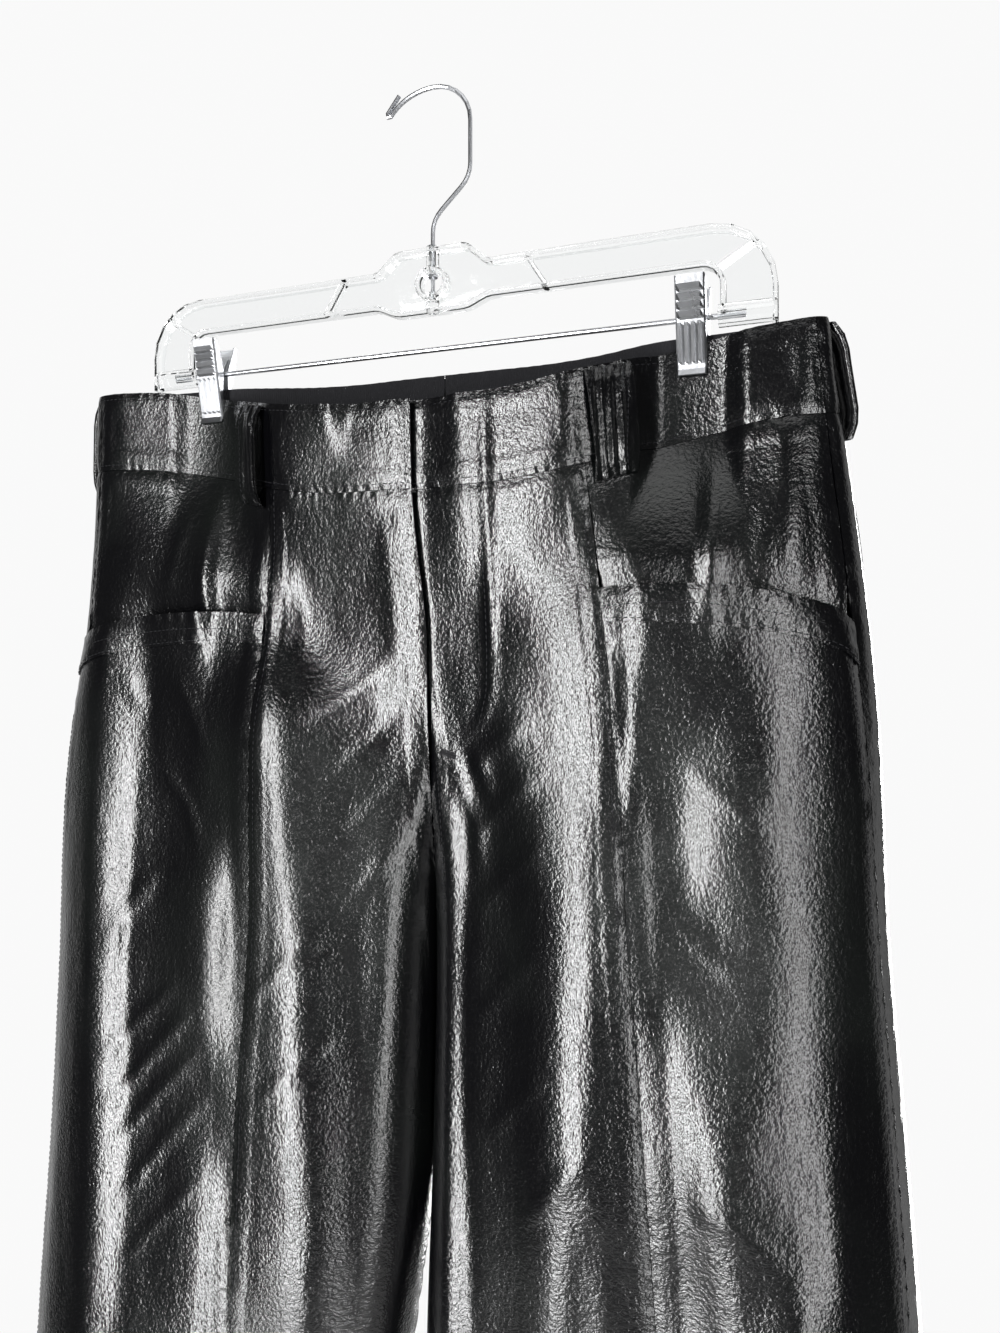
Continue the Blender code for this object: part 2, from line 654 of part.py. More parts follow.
def cylinder(name, radius, start, end, material, collection, sides=12):
    """Cylinder between two points."""
    start, end = Vector(start), Vector(end)
    mesh = bpy.data.meshes.new(name)
    shape = bmesh.new()
    bmesh.ops.create_cone(shape, cap_ends=True, segments=sides, radius1=radius, radius2=radius,
                          depth=(end - start).length)
    turn = (end - start).to_track_quat("Z", "Y").to_matrix().to_4x4()
    turn.translation = (start + end) / 2
    shape.transform(turn)
    shape.to_mesh(mesh)
    shape.free()
    return place_mesh(name, mesh, material, collection)


def cutting_group(name, cutters):
    group = bpy.data.collections.new(name)
    cutters.children.link(group)
    return group


def combine(target, group, operation):
    for thing in group.objects:
        thing.hide_render = True
        thing.display_type = "WIRE"
    modifier = target.modifiers.new(operation.lower(), "BOOLEAN")
    modifier.operation = operation
    modifier.operand_type = "COLLECTION"
    modifier.collection = group
    modifier.solver = "EXACT"


def build_body(clear, collection, cutters):
    """Clear body: a flat rail round the outside, one inside, a thin web and ribs between them."""
    outer = rail_path(BODY_HALF, BODY_TOP, OUTER_CORNER, BODY_FOOT, HUMP_RISE)
    inner = rail_path(INNER_HALF, INNER_TOP, INNER_CORNER, INNER_FOOT, -INNER_DIP)
    body = rail("hanger_body", outer, clear, collection)
    joined = cutting_group("hanger_body_joined", cutters)
    rail("inner_rail", inner, clear, joined)
    window = arc(0, WINDOW_Z, WINDOW_RADIUS, WINDOW_RADIUS, *WINDOW_TURN)
    web("body_web", [outer + inner[::-1], window], clear, joined)
    rail("window_rim", window, clear, joined, cyclic=True)
    for side in (RIGHT, LEFT):
        for rib in RIBS:
            ends = [(side * rib.x_outer, rib.z_outer), (side * rib.x_inner, rib.z_inner)]
            rail("body_rib", ends, clear, joined, RIB_DEPTH)
        cylinder("rod_socket", SOCKET_RADIUS, (side * SOCKET_START, 0, ROD_Z),
                 (side * SOCKET_END, 0, ROD_Z), clear, joined)
    cylinder("boss_upper", BOSS_RADIUS, (0, 0, BOSS_TOP), (0, 0, COLLAR_TOP + SEAM), clear, joined)
    cylinder("boss_lower", BOSS_RADIUS, (0, 0, BOSS_LOWER), (0, 0, BOSS_FOOT), clear, joined)
    combine(body, joined, "UNION")
    drilled = cutting_group("hanger_body_drilled", cutters)
    cylinder("shank_drill", WIRE_RADIUS + SEAM, (0, 0, BOSS_TOP + RAIL_DEPTH),
             (0, 0, SHANK_END - SEAM), clear, drilled)
    for side in (RIGHT, LEFT):
        cylinder("rod_drill", ROD_RADIUS + SEAM, (side * (SOCKET_START - RAIL_DEPTH), 0, ROD_Z),
                 (side * (ROD_HALF + SEAM), 0, ROD_Z), clear, drilled)
    combine(body, drilled, "DIFFERENCE")


def hook_path():
    """Centre line of the hook wire, from its folded end over the crown down to the shank."""
    crown = -HOOK_HEIGHT + WIRE_RADIUS
    left = arc(0, crown, HOOK_LEFT, HOOK_HEIGHT, 90 + HOOK_TIP_ANGLE, 90, 9)
    right = arc(0, crown, HOOK_RIGHT, HOOK_HEIGHT, 90, 0, 7)
    tip = Vector(left[0])
    heading = (tip - Vector(left[1])).normalized()
    aside = Vector((heading.y, -heading.x)) * FOLD_SPACE
    fold = [tip + aside - heading * FOLD_LENGTH, tip + aside, tip + aside / 2 + heading * FOLD_SPACE / 2]
    bends = rounded([(HOOK_RIGHT, crown - 0.004), (HOOK_RIGHT, BEND_TOP), (0.0, BEND_LOW),
                     (0.0, SHANK_END)], BEND_RADIUS)
    return [tuple(point) for point in fold] + left + right[1:] + bends


def build_hook(steel, collection, cutters):
    points = [(x, z, 0.0) for x, z in hook_path()]
    curve = make_curve("hanger_hook", points, steel, collection, WIRE_RADIUS)
    curve.rotation_euler = (math.radians(90), 0, 0)
    hook = as_mesh(curve)
    collar = cutting_group("hanger_hook_collar", cutters)
    cylinder("shank_collar", COLLAR_RADIUS, (0, 0, COLLAR_TOP), (0, 0, COLLAR_LOW), steel, collar)
    combine(hook, collar, "UNION")
    hook.data.shade_smooth()
    hook.data.set_sharp_from_angle(angle=math.radians(50))


def jaw_rows(is_front):
    """Heights of a jaw's rows, with how far each is pressed out and how deep its flutes are."""
    rows = [(CLIP_TOP, 0.0, 0.0), (LOUVRE_TOP, 0.0, 0.0)]
    if is_front:
        pitch = (LOUVRE_TOP - LOUVRE_LOW) / LOUVRES
        for i in range(LOUVRES):
            top = LOUVRE_TOP - pitch * i
            rows.append((top - pitch * 0.72, LOUVRE_DEPTH, 0.0))
            rows.append((top - pitch, 0.0, 0.0))
        rows += [(FLUTE_TOP, 0.0, 0.0), (FLUTE_TOP - FLUTE_RUN, 0.0, 1.0)]
        rows += [(FLUTE_LOW + FLUTE_RUN, 0.0, 1.0), (FLUTE_LOW, 0.0, 0.0)]
    else:
        rows += [(z, 0.0, 0.0) for z in spread(LOUVRE_TOP, FLUTE_LOW, 3)]
    return rows + [(NIP, 0.0, 0.0), (CLIP_BOTTOM, 0.0, 0.0)]


def build_jaw(name, x, facing, steel, collection):
    """Pressed channel: a face with a flange down each side, as an open sheet with thickness."""
    is_front = facing < 0
    flutes = FLUTES if is_front else 1
    steps = 2 * flutes
    half = CLIP_WIDTH / 2
    shape = bmesh.new()
    grid = []
    for z, pressed, fluted in jaw_rows(is_front):
        face = along(JAW, "z", z, "face")
        back = along(JAW, "z", z, "back")
        row = [(-half, back), (-half, face - JAW_BEND), (-half + JAW_BEND, face)]
        for i in range(1, steps):
            across = (half - JAW_BEND) * (2 * i / steps - 1)
            dent = FLUTE_DEPTH * fluted if i % 2 else 0.0
            row.append((across, face + pressed - dent))
        row += [(half - JAW_BEND, face), (half, face - JAW_BEND), (half, back)]
        grid.append([shape.verts.new((x + across, facing * out, z)) for across, out in row])
    for upper, lower in zip(grid, grid[1:]):
        for c in range(len(upper) - 1):
            corners = [upper[c], lower[c], lower[c + 1], upper[c + 1]]
            shape.faces.new(corners if is_front else corners[::-1])
    mesh = bpy.data.meshes.new(name)
    shape.to_mesh(mesh)
    shape.free()
    jaw = place_mesh(name, mesh, steel, collection)
    sheet = jaw.modifiers.new("sheet", "SOLIDIFY")
    sheet.thickness = CLIP_SHEET
    sheet.offset = -1
    sheet.use_even_offset = True


def build_spring(name, x, steel, collection):
    """Coil round the rod with a leg up to each jaw."""
    turns = SPRING_TURNS + 0.5
    count = int(turns * 8)
    coil = []
    for i in range(count + 1):
        angle = math.pi + 2 * math.pi * turns * i / count
        along_rod = SPRING_PITCH * turns * (i / count - 0.5)
        coil.append((x + along_rod, SPRING_RADIUS * math.cos(angle),
                     ROD_Z + SPRING_RADIUS * math.sin(angle)))
    reach = along(JAW, "z", SPRING_LEG_TOP, "face") - CLIP_SHEET - SEAM - SPRING_WIRE
    front = (coil[0][0], -reach, SPRING_LEG_TOP)
    rear = (coil[-1][0], reach, SPRING_LEG_TOP)
    spring = make_curve(name, [front] + coil + [rear], steel, collection, SPRING_WIRE, sides=1)
    as_mesh(spring).data.shade_smooth()


def build_hanger(collection, cutters):
    clear = make_material("clear_plastic", (0.93, 0.95, 0.96), 0.05, alpha=0.35)
    steel = make_material("bright_steel", (0.78, 0.79, 0.80), 0.12, metallic=1.0)
    build_body(clear, collection, cutters)
    build_hook(steel, collection, cutters)
    cylinder("hanger_rod", ROD_RADIUS, (-ROD_HALF, 0, ROD_Z), (ROD_HALF, 0, ROD_Z),
             steel, collection)
    for side in (RIGHT, LEFT):
        name = SIDE_NAMES[side]
        build_jaw("clip_front_" + name, side * CLIP_X, -1, steel, collection)
        build_jaw("clip_rear_" + name, side * CLIP_X, 1, steel, collection)
        build_spring("clip_spring_" + name, side * CLIP_X, steel, collection)


# ---------------------------------------------------------------- main
def main():
    for thing in list(bpy.data.objects):
        bpy.data.objects.remove(thing, do_unlink=True)
    garment = bpy.data.collections.new("wide_leg_trousers_on_clip_hanger")
    bpy.context.scene.collection.children.link(garment)
    cutters = bpy.data.collections.new("cutters")
    bpy.context.scene.collection.children.link(cutters)
    cloth = make_material("faux_leather", (0.011, 0.011, 0.013), 0.24)
    for side in (RIGHT, LEFT):
        build_side(side, cloth, garment)
    build_loops(cloth, garment)
    build_hanger(garment, cutters)


main()
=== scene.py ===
# %% [markdown]
# # Wide-leg trousers of black faux leather on a clip hanger
# The packed model holds every piece at its real size: the cut panels as plain walls 1.3 mm thick,
# the belt loops, and the clear hanger with its hook, rod and clips. This script dresses them. The
# cloth gets its folds, seams, stitches and crinkled glossy face, and the hanger gets clear plastic
# and bright plating. Everything is in metres, with +Z up and the garment's front towards -Y.

# %% Load the packed model
import json
import math
from collections import Counter
from itertools import chain

import bmesh
import bpy
import numpy as np
from mathutils import Matrix, Vector, noise
from mathutils.bvhtree import BVHTree

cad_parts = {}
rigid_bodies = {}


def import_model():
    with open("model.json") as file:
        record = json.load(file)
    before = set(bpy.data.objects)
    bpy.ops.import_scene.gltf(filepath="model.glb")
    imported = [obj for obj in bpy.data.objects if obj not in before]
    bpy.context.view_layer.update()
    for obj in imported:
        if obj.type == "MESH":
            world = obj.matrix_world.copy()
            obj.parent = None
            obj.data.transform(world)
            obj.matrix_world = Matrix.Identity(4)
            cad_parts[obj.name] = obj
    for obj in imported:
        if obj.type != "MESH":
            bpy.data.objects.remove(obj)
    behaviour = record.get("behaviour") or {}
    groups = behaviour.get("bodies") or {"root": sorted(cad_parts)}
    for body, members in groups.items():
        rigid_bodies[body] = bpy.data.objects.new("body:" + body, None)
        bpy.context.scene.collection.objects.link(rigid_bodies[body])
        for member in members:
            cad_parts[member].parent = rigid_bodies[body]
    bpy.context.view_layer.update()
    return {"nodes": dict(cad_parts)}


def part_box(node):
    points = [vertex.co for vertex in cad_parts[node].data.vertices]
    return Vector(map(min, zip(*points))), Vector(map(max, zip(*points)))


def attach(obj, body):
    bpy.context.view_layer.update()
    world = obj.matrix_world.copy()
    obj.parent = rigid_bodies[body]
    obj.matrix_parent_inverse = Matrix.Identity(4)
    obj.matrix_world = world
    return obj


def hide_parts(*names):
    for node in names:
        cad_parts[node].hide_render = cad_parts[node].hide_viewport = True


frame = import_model()

# %% [markdown]
# ## Camera
# A garment on a hanger is usually photographed from close by, from eye level with the hips. The
# camera stands half a metre away, to the right of the middle, and looks a little to the left. It
# comes first, before the pieces are built.

# %% Camera
bpy.ops.object.select_all(action="DESELECT")
bpy.ops.object.camera_add(location=(0.2175, -0.4912, -0.309),
                          rotation=(math.radians(90), 0, math.radians(20.05)))
camera = bpy.context.object
camera.data.lens = 27.03
camera.data.sensor_width = 36
camera.data.sensor_fit = "AUTO"
bpy.context.scene.camera = camera
print("camera at", tuple(round(v, 3) for v in camera.location))

# %% [markdown]
# ## The cut pieces
# A pattern cutter knows each piece by its flat size before it is sewn. The table gives the width
# and length that each piece is cut to, and its area, because most are not rectangles. The front
# needs small cells for its folds. The back is smoother and does with larger ones.

# %% Table of cut pieces
# kind of piece: flat width, length and area (m, m, m2), on the right and then on the left
KINDS = {
    "waistband_front": ((0.092, 0.048, 0.0042), (0.104, 0.048, 0.0048)),
    "waistband_side": ((0.136, 0.049, 0.0064), (0.118, 0.049, 0.0055)),
    "waistband_back": ((0.234, 0.049, 0.0111), (0.216, 0.049, 0.0102)),
    "front_centre": ((0.134, 1.026, 0.122), (0.164, 1.028, 0.154)),
    "front_side": ((0.192, 0.962, 0.149), (0.170, 0.970, 0.114)),
    "hip_yoke": ((0.148, 0.156, 0.0180), (0.128, 0.149, 0.0142)),
    "pocket_band": ((0.143, 0.0195, 0.0027), (0.119, 0.0200, 0.0023)),
    "back": ((0.312, 1.046, 0.298), (0.304, 1.046, 0.291)),
    "belt_loop_front": ((0.0195, 0.078, 0.00150), (0.0195, 0.078, 0.00150)),
    "belt_loop_side": ((0.0195, 0.088, 0.00171), (0.0195, 0.085, 0.00165)),
}
SIDES = ("right", "left")
CUTS = {f"{kind}_{side}": cut for kind, pair in KINDS.items() for side, cut in zip(SIDES, pair)}
CUTS["belt_loop_back"] = (0.0195, 0.068, 0.00131)
CLOTH = 0.0013  # thickness of the bonded cloth
FRONT_CELL, BACK_CELL = 0.0027, 0.0042  # longest side of a face
LOOPS = [name for name in CUTS if name.startswith("belt_loop")]
PANELS = [name for name in CUTS if name not in LOOPS]
print("panels:", len(PANELS), "belt loops:", len(LOOPS))

# %% [markdown]
# ## Copies of the packed pieces
# The cloth is shaped from copies, so the packed pieces stay as they are. A packed piece is loose
# triangles, and merging the points where they meet makes it one skin.

# %% Copy a packed piece
def only(piece):
    """Selects this piece and nothing else."""
    bpy.ops.object.select_all(action="DESELECT")
    piece.select_set(True)
    bpy.context.view_layer.objects.active = piece


def copy_of(node, name):
    """A copy of a packed node, merged, with no material."""
    source = frame["nodes"][node]
    piece = source.copy()
    piece.data = source.data.copy()
    piece.name = piece.data.name = name
    piece.parent = None
    for key in list(piece.keys()):
        del piece[key]
    bpy.context.scene.collection.objects.link(piece)
    piece.data.materials.clear()
    only(piece)
    bpy.ops.object.mode_set(mode="EDIT")
    bpy.ops.mesh.select_all(action="SELECT")
    bpy.ops.mesh.remove_doubles(threshold=1e-5)
    bpy.ops.mesh.customdata_custom_splitnormals_clear()
    bpy.ops.object.mode_set(mode="OBJECT")
    return piece


sheets = {name: copy_of(name, "cloth_" + name) for name in PANELS}
print("walls copied:", len(sheets))

# %% [markdown]
# ## From a solid wall to a bare sheet
# Each copy is a closed wall with an outer face, an inner face and a thin rim. Folds are easier to
# press into a single sheet, so it keeps its outer face alone. The rim meets both faces at a right
# angle, so the sharp edges fence off the outer face and one click selects it.

# %% Keep the outer face of a wall
RIM_ANGLE = math.radians(58)  # a wall's rim is sharper than any bend of its outer face
SLIVER = 0.0004  # points nearer each other than this are merged (m)


def keep_outer_face(piece, outward):
    """Deletes the rim and the inner face of a wall, and turns its triangles back to quads."""
    only(piece)
    bpy.ops.object.mode_set(mode="EDIT")
    bpy.ops.mesh.select_mode(type="EDGE")
    bpy.ops.mesh.select_all(action="DESELECT")
    bpy.ops.mesh.edges_select_sharp(sharpness=RIM_ANGLE)
    bpy.ops.mesh.mark_sharp()
    bpy.ops.mesh.select_mode(type="FACE")
    bpy.ops.mesh.select_all(action="DESELECT")
    shell = bmesh.from_edit_mesh(piece.data)
    seed = max(shell.faces, key=lambda face: face.normal.dot(outward) * face.calc_area())
    seed.select_set(True)
    bmesh.update_edit_mesh(piece.data)
    bpy.ops.mesh.select_linked(delimit={"SHARP"})
    bpy.ops.mesh.select_all(action="INVERT")
    bpy.ops.mesh.delete(type="FACE")
    bpy.ops.mesh.select_all(action="SELECT")
    bpy.ops.mesh.remove_doubles(threshold=SLIVER)
    bpy.ops.mesh.tris_convert_to_quads(face_threshold=math.radians(60), shape_threshold=math.radians(80))
    bpy.ops.mesh.mark_sharp(clear=True)
    bpy.ops.object.mode_set(mode="OBJECT")


for name, sheet in sheets.items():
    keep_outer_face(sheet, Vector((0, 1 if "back" in name else -1, 0)))
print("faces of the bare sheets:", {name: len(sheet.data.polygons) for name, sheet in sheets.items()})

# %% [markdown]
# ## Smaller cells
# A fold a centimetre wide needs several faces across it. Two levels of Subdivision Surface round
# off the coarse sections first. Then each row and each column of faces is cut evenly, as often as
# its length asks. A row's edges face each other across its quads, so one is found from the next.

# %% Cut a sheet into small even cells
MOST_ROUNDS, MOST_CUTS = 30, 9  # rounds of cutting, and cuts in one round
SLACK, UPRIGHT = 1.02, 0.6  # share of a cell that is let pass, rise of an upright ring


def apply_modifier(piece, kind, **settings):
    """Adds a modifier, sets it and applies it."""
    only(piece)
    modifier = piece.modifiers.new(kind.title(), kind)
    for key, value in settings.items():
        setattr(modifier, key, value)
    bpy.ops.object.modifier_apply(modifier=modifier.name)


def edge_rings(shell):
    """Lists of edges that face each other across quads."""
    seen, rings = set(), []
    for first in shell.edges:
        if first in seen:
            continue
        seen.add(first)
        ring = [first]
        for edge in ring:  # the list grows while it is walked
            for loop in edge.link_loops:
                if len(loop.face.verts) == 4:
                    across = loop.link_loop_next.link_loop_next.edge
                    if across not in seen:
                        seen.add(across)
                        ring.append(across)
        rings.append(ring)
    return rings


def cut_to_cells(piece, cell):
    """Subdivides columns and rows until no cell is longer than this, the fewest cuts first."""
    only(piece)
    bpy.ops.object.mode_set(mode="EDIT")
    bpy.ops.mesh.select_mode(type="EDGE")
    for _ in range(MOST_ROUNDS):
        shell = bmesh.from_edit_mesh(piece.data)
        bpy.ops.mesh.select_all(action="DESELECT")
        wanted = []
        for ring in edge_rings(shell):
            length = sum(edge.calc_length() for edge in ring) / len(ring)
            rise = sum(abs(edge.verts[0].co.z - edge.verts[1].co.z) for edge in ring) / len(ring)
            if length > cell * SLACK:
                wanted.append((rise > UPRIGHT * length, math.ceil(length / cell) - 1, ring))
        if not wanted:
            break
        upright, cuts, _ = min(wanted, key=lambda item: (item[0], item[1]))
        for is_upright, number, ring in wanted:
            if (is_upright, number) == (upright, cuts):
                for edge in ring:
                    edge.select_set(True)
        bmesh.update_edit_mesh(piece.data)
        bpy.ops.mesh.subdivide(number_cuts=min(cuts, MOST_CUTS))
    bpy.ops.object.mode_set(mode="OBJECT")


for name, sheet in sheets.items():
    apply_modifier(sheet, "SUBSURF", levels=2, render_levels=2, boundary_smooth="PRESERVE_CORNERS")
    cut_to_cells(sheet, BACK_CELL if "back" in name else FRONT_CELL)
print("faces once cut:", sum(len(sheet.data.polygons) for sheet in sheets.values()))

# %% [markdown]
# ## Hanging folds of the front
# Hung by its waistband, the cloth falls in long soft folds, and on a glossy black cloth only their
# slopes show. So the folds are set down as slopes. At each level the table walks across the front
# and says how far the cloth leans, to the wearer's left where the number is positive. A fold's crest
# is where the lean turns from minus to plus, and a narrow crease is where it turns back.

# %% Table of the front's leans
# level z (m): place x (mm) and lean (degrees), ...
FRONT_LEANS = {
    -0.14: """-215 0, -195 0, -185 -8, -170 -12, -155 -9, -146 0, -130 0, -85 0, -74 -6, -60 -9, -49 -9,
        -45 16, -40 16, -36 -7, -24 -9, -16 -4, -9 6, 0 0, 10 -6, 20 -8, 28 2, 36 4, 46 -3, 58 -5, 68 -8,
        76 -12, 88 -6, 100 0, 125 4, 142 6, 152 10, 166 12, 178 8, 188 -6, 196 -4, 215 0""",
    -0.17: """-215 0, -195 0, -184 -8, -170 -12, -156 -9, -146 0, -130 0, -85 0, -72 -7, -58 -9, -49 -9,
        -43 17, -38 17, -33 -8, -20 -9, -13 -6, -7 4, 0 0, 10 -9, 22 -8, 29 6, 36 2, 46 -3, 58 -4, 68 -7,
        76 -12, 86 -12, 96 -4, 104 0, 122 -8, 132 -6, 142 0, 150 0, 158 8, 170 12, 180 8, 188 -5, 196 -2,
        215 0""",
    -0.205: """-215 0, -198 0, -188 -6, -178 -10, -160 -10, -145 -6, -135 0, -129 10, -124 17, -118 0,
        -100 0, -85 0, -72 -5, -56 -7, -40 -8, -24 -6, -8 0, 0 0, 10 -9, 22 -6, 30 6, 38 2, 48 -3, 60 -4,
        75 -7, 85 -8, 94 -6, 104 -10, 112 -10, 120 0, 134 6, 143 8, 147 -3, 151 -6, 155 4, 162 8, 172 2,
        179 -5, 184 8, 190 12, 198 4, 204 0, 215 0""",
    -0.25: """-215 0, -200 0, -190 -2, -180 -4, -172 -4, -165 -6, -152 -10, -138 -7, -132 2, -128 12,
        -124 18, -118 0, -108 4, -98 5, -90 0, -78 -3, -65 -7, -50 -9, -35 -11, -20 -12, -8 -7, 0 0,
        10 -10, 20 -6, 28 4, 34 8, 42 -4, 54 -4, 66 -3, 76 -6, 88 -9, 98 -8, 106 -11, 113 -10, 119 2,
        130 6, 141 6, 146 -6, 151 -12, 156 0, 163 6, 171 -4, 178 -6, 183 -5, 187 6, 191 12, 198 8, 206 0,
        215 0""",
    -0.29: """-215 0, -204 2, -194 12, -184 12, -174 8, -166 -4, -150 -6, -136 -5, -130 2, -124 8,
        -118 -4, -105 -6, -96 -10, -90 -2, -82 9, -76 12, -69 17, -62 0, -50 -7, -40 -11, -24 -14,
        -11 -13, 0 0, 10 -4, 22 4, 30 8, 42 -3, 56 -5, 68 -4, 80 -4, 92 -6, 98 -5, 104 0, 110 -15,
        117 -10, 124 4, 138 6, 156 5, 172 3, 180 4, 190 3, 200 0, 215 0""",
    -0.34: """-215 0, -204 4, -194 15, -184 15, -175 13, -168 6, -162 -8, -146 -8, -126 -6, -105 -7,
        -92 -9, -84 -2, -77 8, -70 15, -62 14, -52 8, -40 5, -24 4, -12 -2, 0 0, 10 0, 22 7, 30 12, 40 0,
        50 -4, 58 0, 68 2, 80 0, 92 -5, 99 -3, 104 5, 110 -16, 116 -11, 122 0, 140 5, 160 5, 172 4, 180 6,
        190 4, 200 0, 215 0""",
    -0.39: """-215 0, -205 4, -196 16, -186 17, -177 15, -171 -4, -158 -9, -146 -7, -126 -5, -110 -5,
        -96 -6, -88 -9, -80 -4, -73 3, -66 9, -58 9, -48 5, -36 4, -24 2, -12 -2, 0 0, 10 4, 17 16, 22 24,
        27 18, 32 -8, 45 -12, 58 -10, 70 -4, 79 -1, 88 -3, 95 0, 102 7, 112 4, 124 4, 136 1, 146 -6,
        152 4, 162 9, 174 7, 188 3, 200 -1, 215 0""",
    -0.44: """-215 0, -206 3, -198 14, -190 19, -184 19, -178 14, -173 -8, -160 -10, -148 -8, -134 -6,
        -122 -2, -113 11, -105 19, -99 -5, -90 -9, -80 -9, -72 -6, -66 -3, -58 2, -48 3, -36 4, -24 3,
        -12 0, 0 0, 8 4, 14 16, 19 26, 24 22, 29 -9, 45 -13, 60 -11, 72 -8, 80 -6, 87 -2, 94 -2, 101 5,
        110 8, 122 4, 132 5, 143 9, 152 11, 164 9, 176 4, 188 1, 200 -2, 215 0""",
    -0.49: """-215 0, -206 3, -198 14, -190 19, -184 19, -178 14, -173 -8, -160 -10, -148 -8, -134 -6,
        -122 -2, -113 11, -105 19, -99 -5, -90 -9, -80 -9, -72 -9, -64 -7, -56 0, -46 4, -34 4, -22 2,
        -12 0, 0 0, 8 4, 14 16, 19 26, 24 22, 29 -9, 45 -13, 60 -11, 72 -8, 80 -6, 87 -2, 94 -2, 101 5,
        110 8, 122 4, 130 -4, 138 -7, 144 4, 152 10, 166 8, 176 4, 188 1, 200 -2, 215 0""",
    -0.54: """-215 0, -204 3, -195 13, -187 19, -181 17, -176 10, -170 -9, -156 -10, -144 -8, -130 -4,
        -118 -1, -108 3, -98 -6, -88 -9, -78 -10, -68 -11, -60 -9, -52 -1, -42 4, -28 4, -14 0, 0 0, 8 4,
        15 16, 20 27, 25 22, 31 -9, 48 -12, 60 -11, 72 -8, 80 -6, 87 -1, 93 0, 100 6, 110 8, 122 4,
        136 -3, 147 -8, 153 2, 162 10, 176 5, 188 0, 200 -3, 215 0""",
    -0.6: """-215 0, -203 3, -194 12, -186 16, -180 14, -174 8, -168 -8, -154 -9, -140 -7, -126 1,
        -117 11, -109 19, -102 -5, -90 -8, -78 -8, -66 -10, -57 -9, -49 -3, -40 3, -26 2, -12 -2, 0 0,
        8 4, 16 16, 22 28, 28 22, 35 -9, 50 -10, 62 -7, 74 -1, 82 6, 90 8, 98 -2, 110 6, 124 7, 140 0,
        152 -8, 159 -4, 168 2, 177 -8, 186 -9, 196 0, 215 0""",
    -0.67: """-215 0, -205 3, -196 12, -188 15, -181 12, -175 2, -168 -8, -152 -8, -138 -4, -126 5,
        -118 12, -110 18, -102 -5, -90 -7, -74 -6, -60 -8, -48 -6, -38 2, -24 1, -12 0, 0 0, 8 4, 17 16,
        24 28, 31 20, 38 -9, 54 -7, 66 -2, 77 6, 87 8, 96 -4, 106 2, 118 8, 132 5, 146 -4, 160 -7, 172 -7,
        184 -9, 196 -2, 215 0""",
    -0.9: """-232 0, -212 8, -200 14, -186 8, -172 -8, -150 2, -132 11, -118 -9, -90 -4, -68 8, -52 5,
        -38 -9, -16 0, 0 0, 16 10, 32 13, 48 -9, 72 -2, 94 8, 112 7, 128 -9, 150 0, 168 8, 184 5, 198 -9,
        232 0""",
    -1.24: """-244 0, -226 10, -210 13, -194 4, -178 -9, -158 2, -140 11, -124 -7, -98 -5, -74 9, -56 5,
        -40 -10, -18 0, 0 0, 18 9, 36 11, 54 -10, 78 0, 100 9, 120 5, 136 -11, 158 2, 178 9, 196 3,
        212 -10, 244 0""",
}
print("levels:", len(FRONT_LEANS), "leans:", sum(row.count(",") + 1 for row in FRONT_LEANS.values()))

# %% [markdown]
# ## Drag lines of the front
# Short wrinkles run aslant from the fly, the pockets and the thighs, where the cloth is pulled. Each
# is a soft line with its own height and a width on either side.

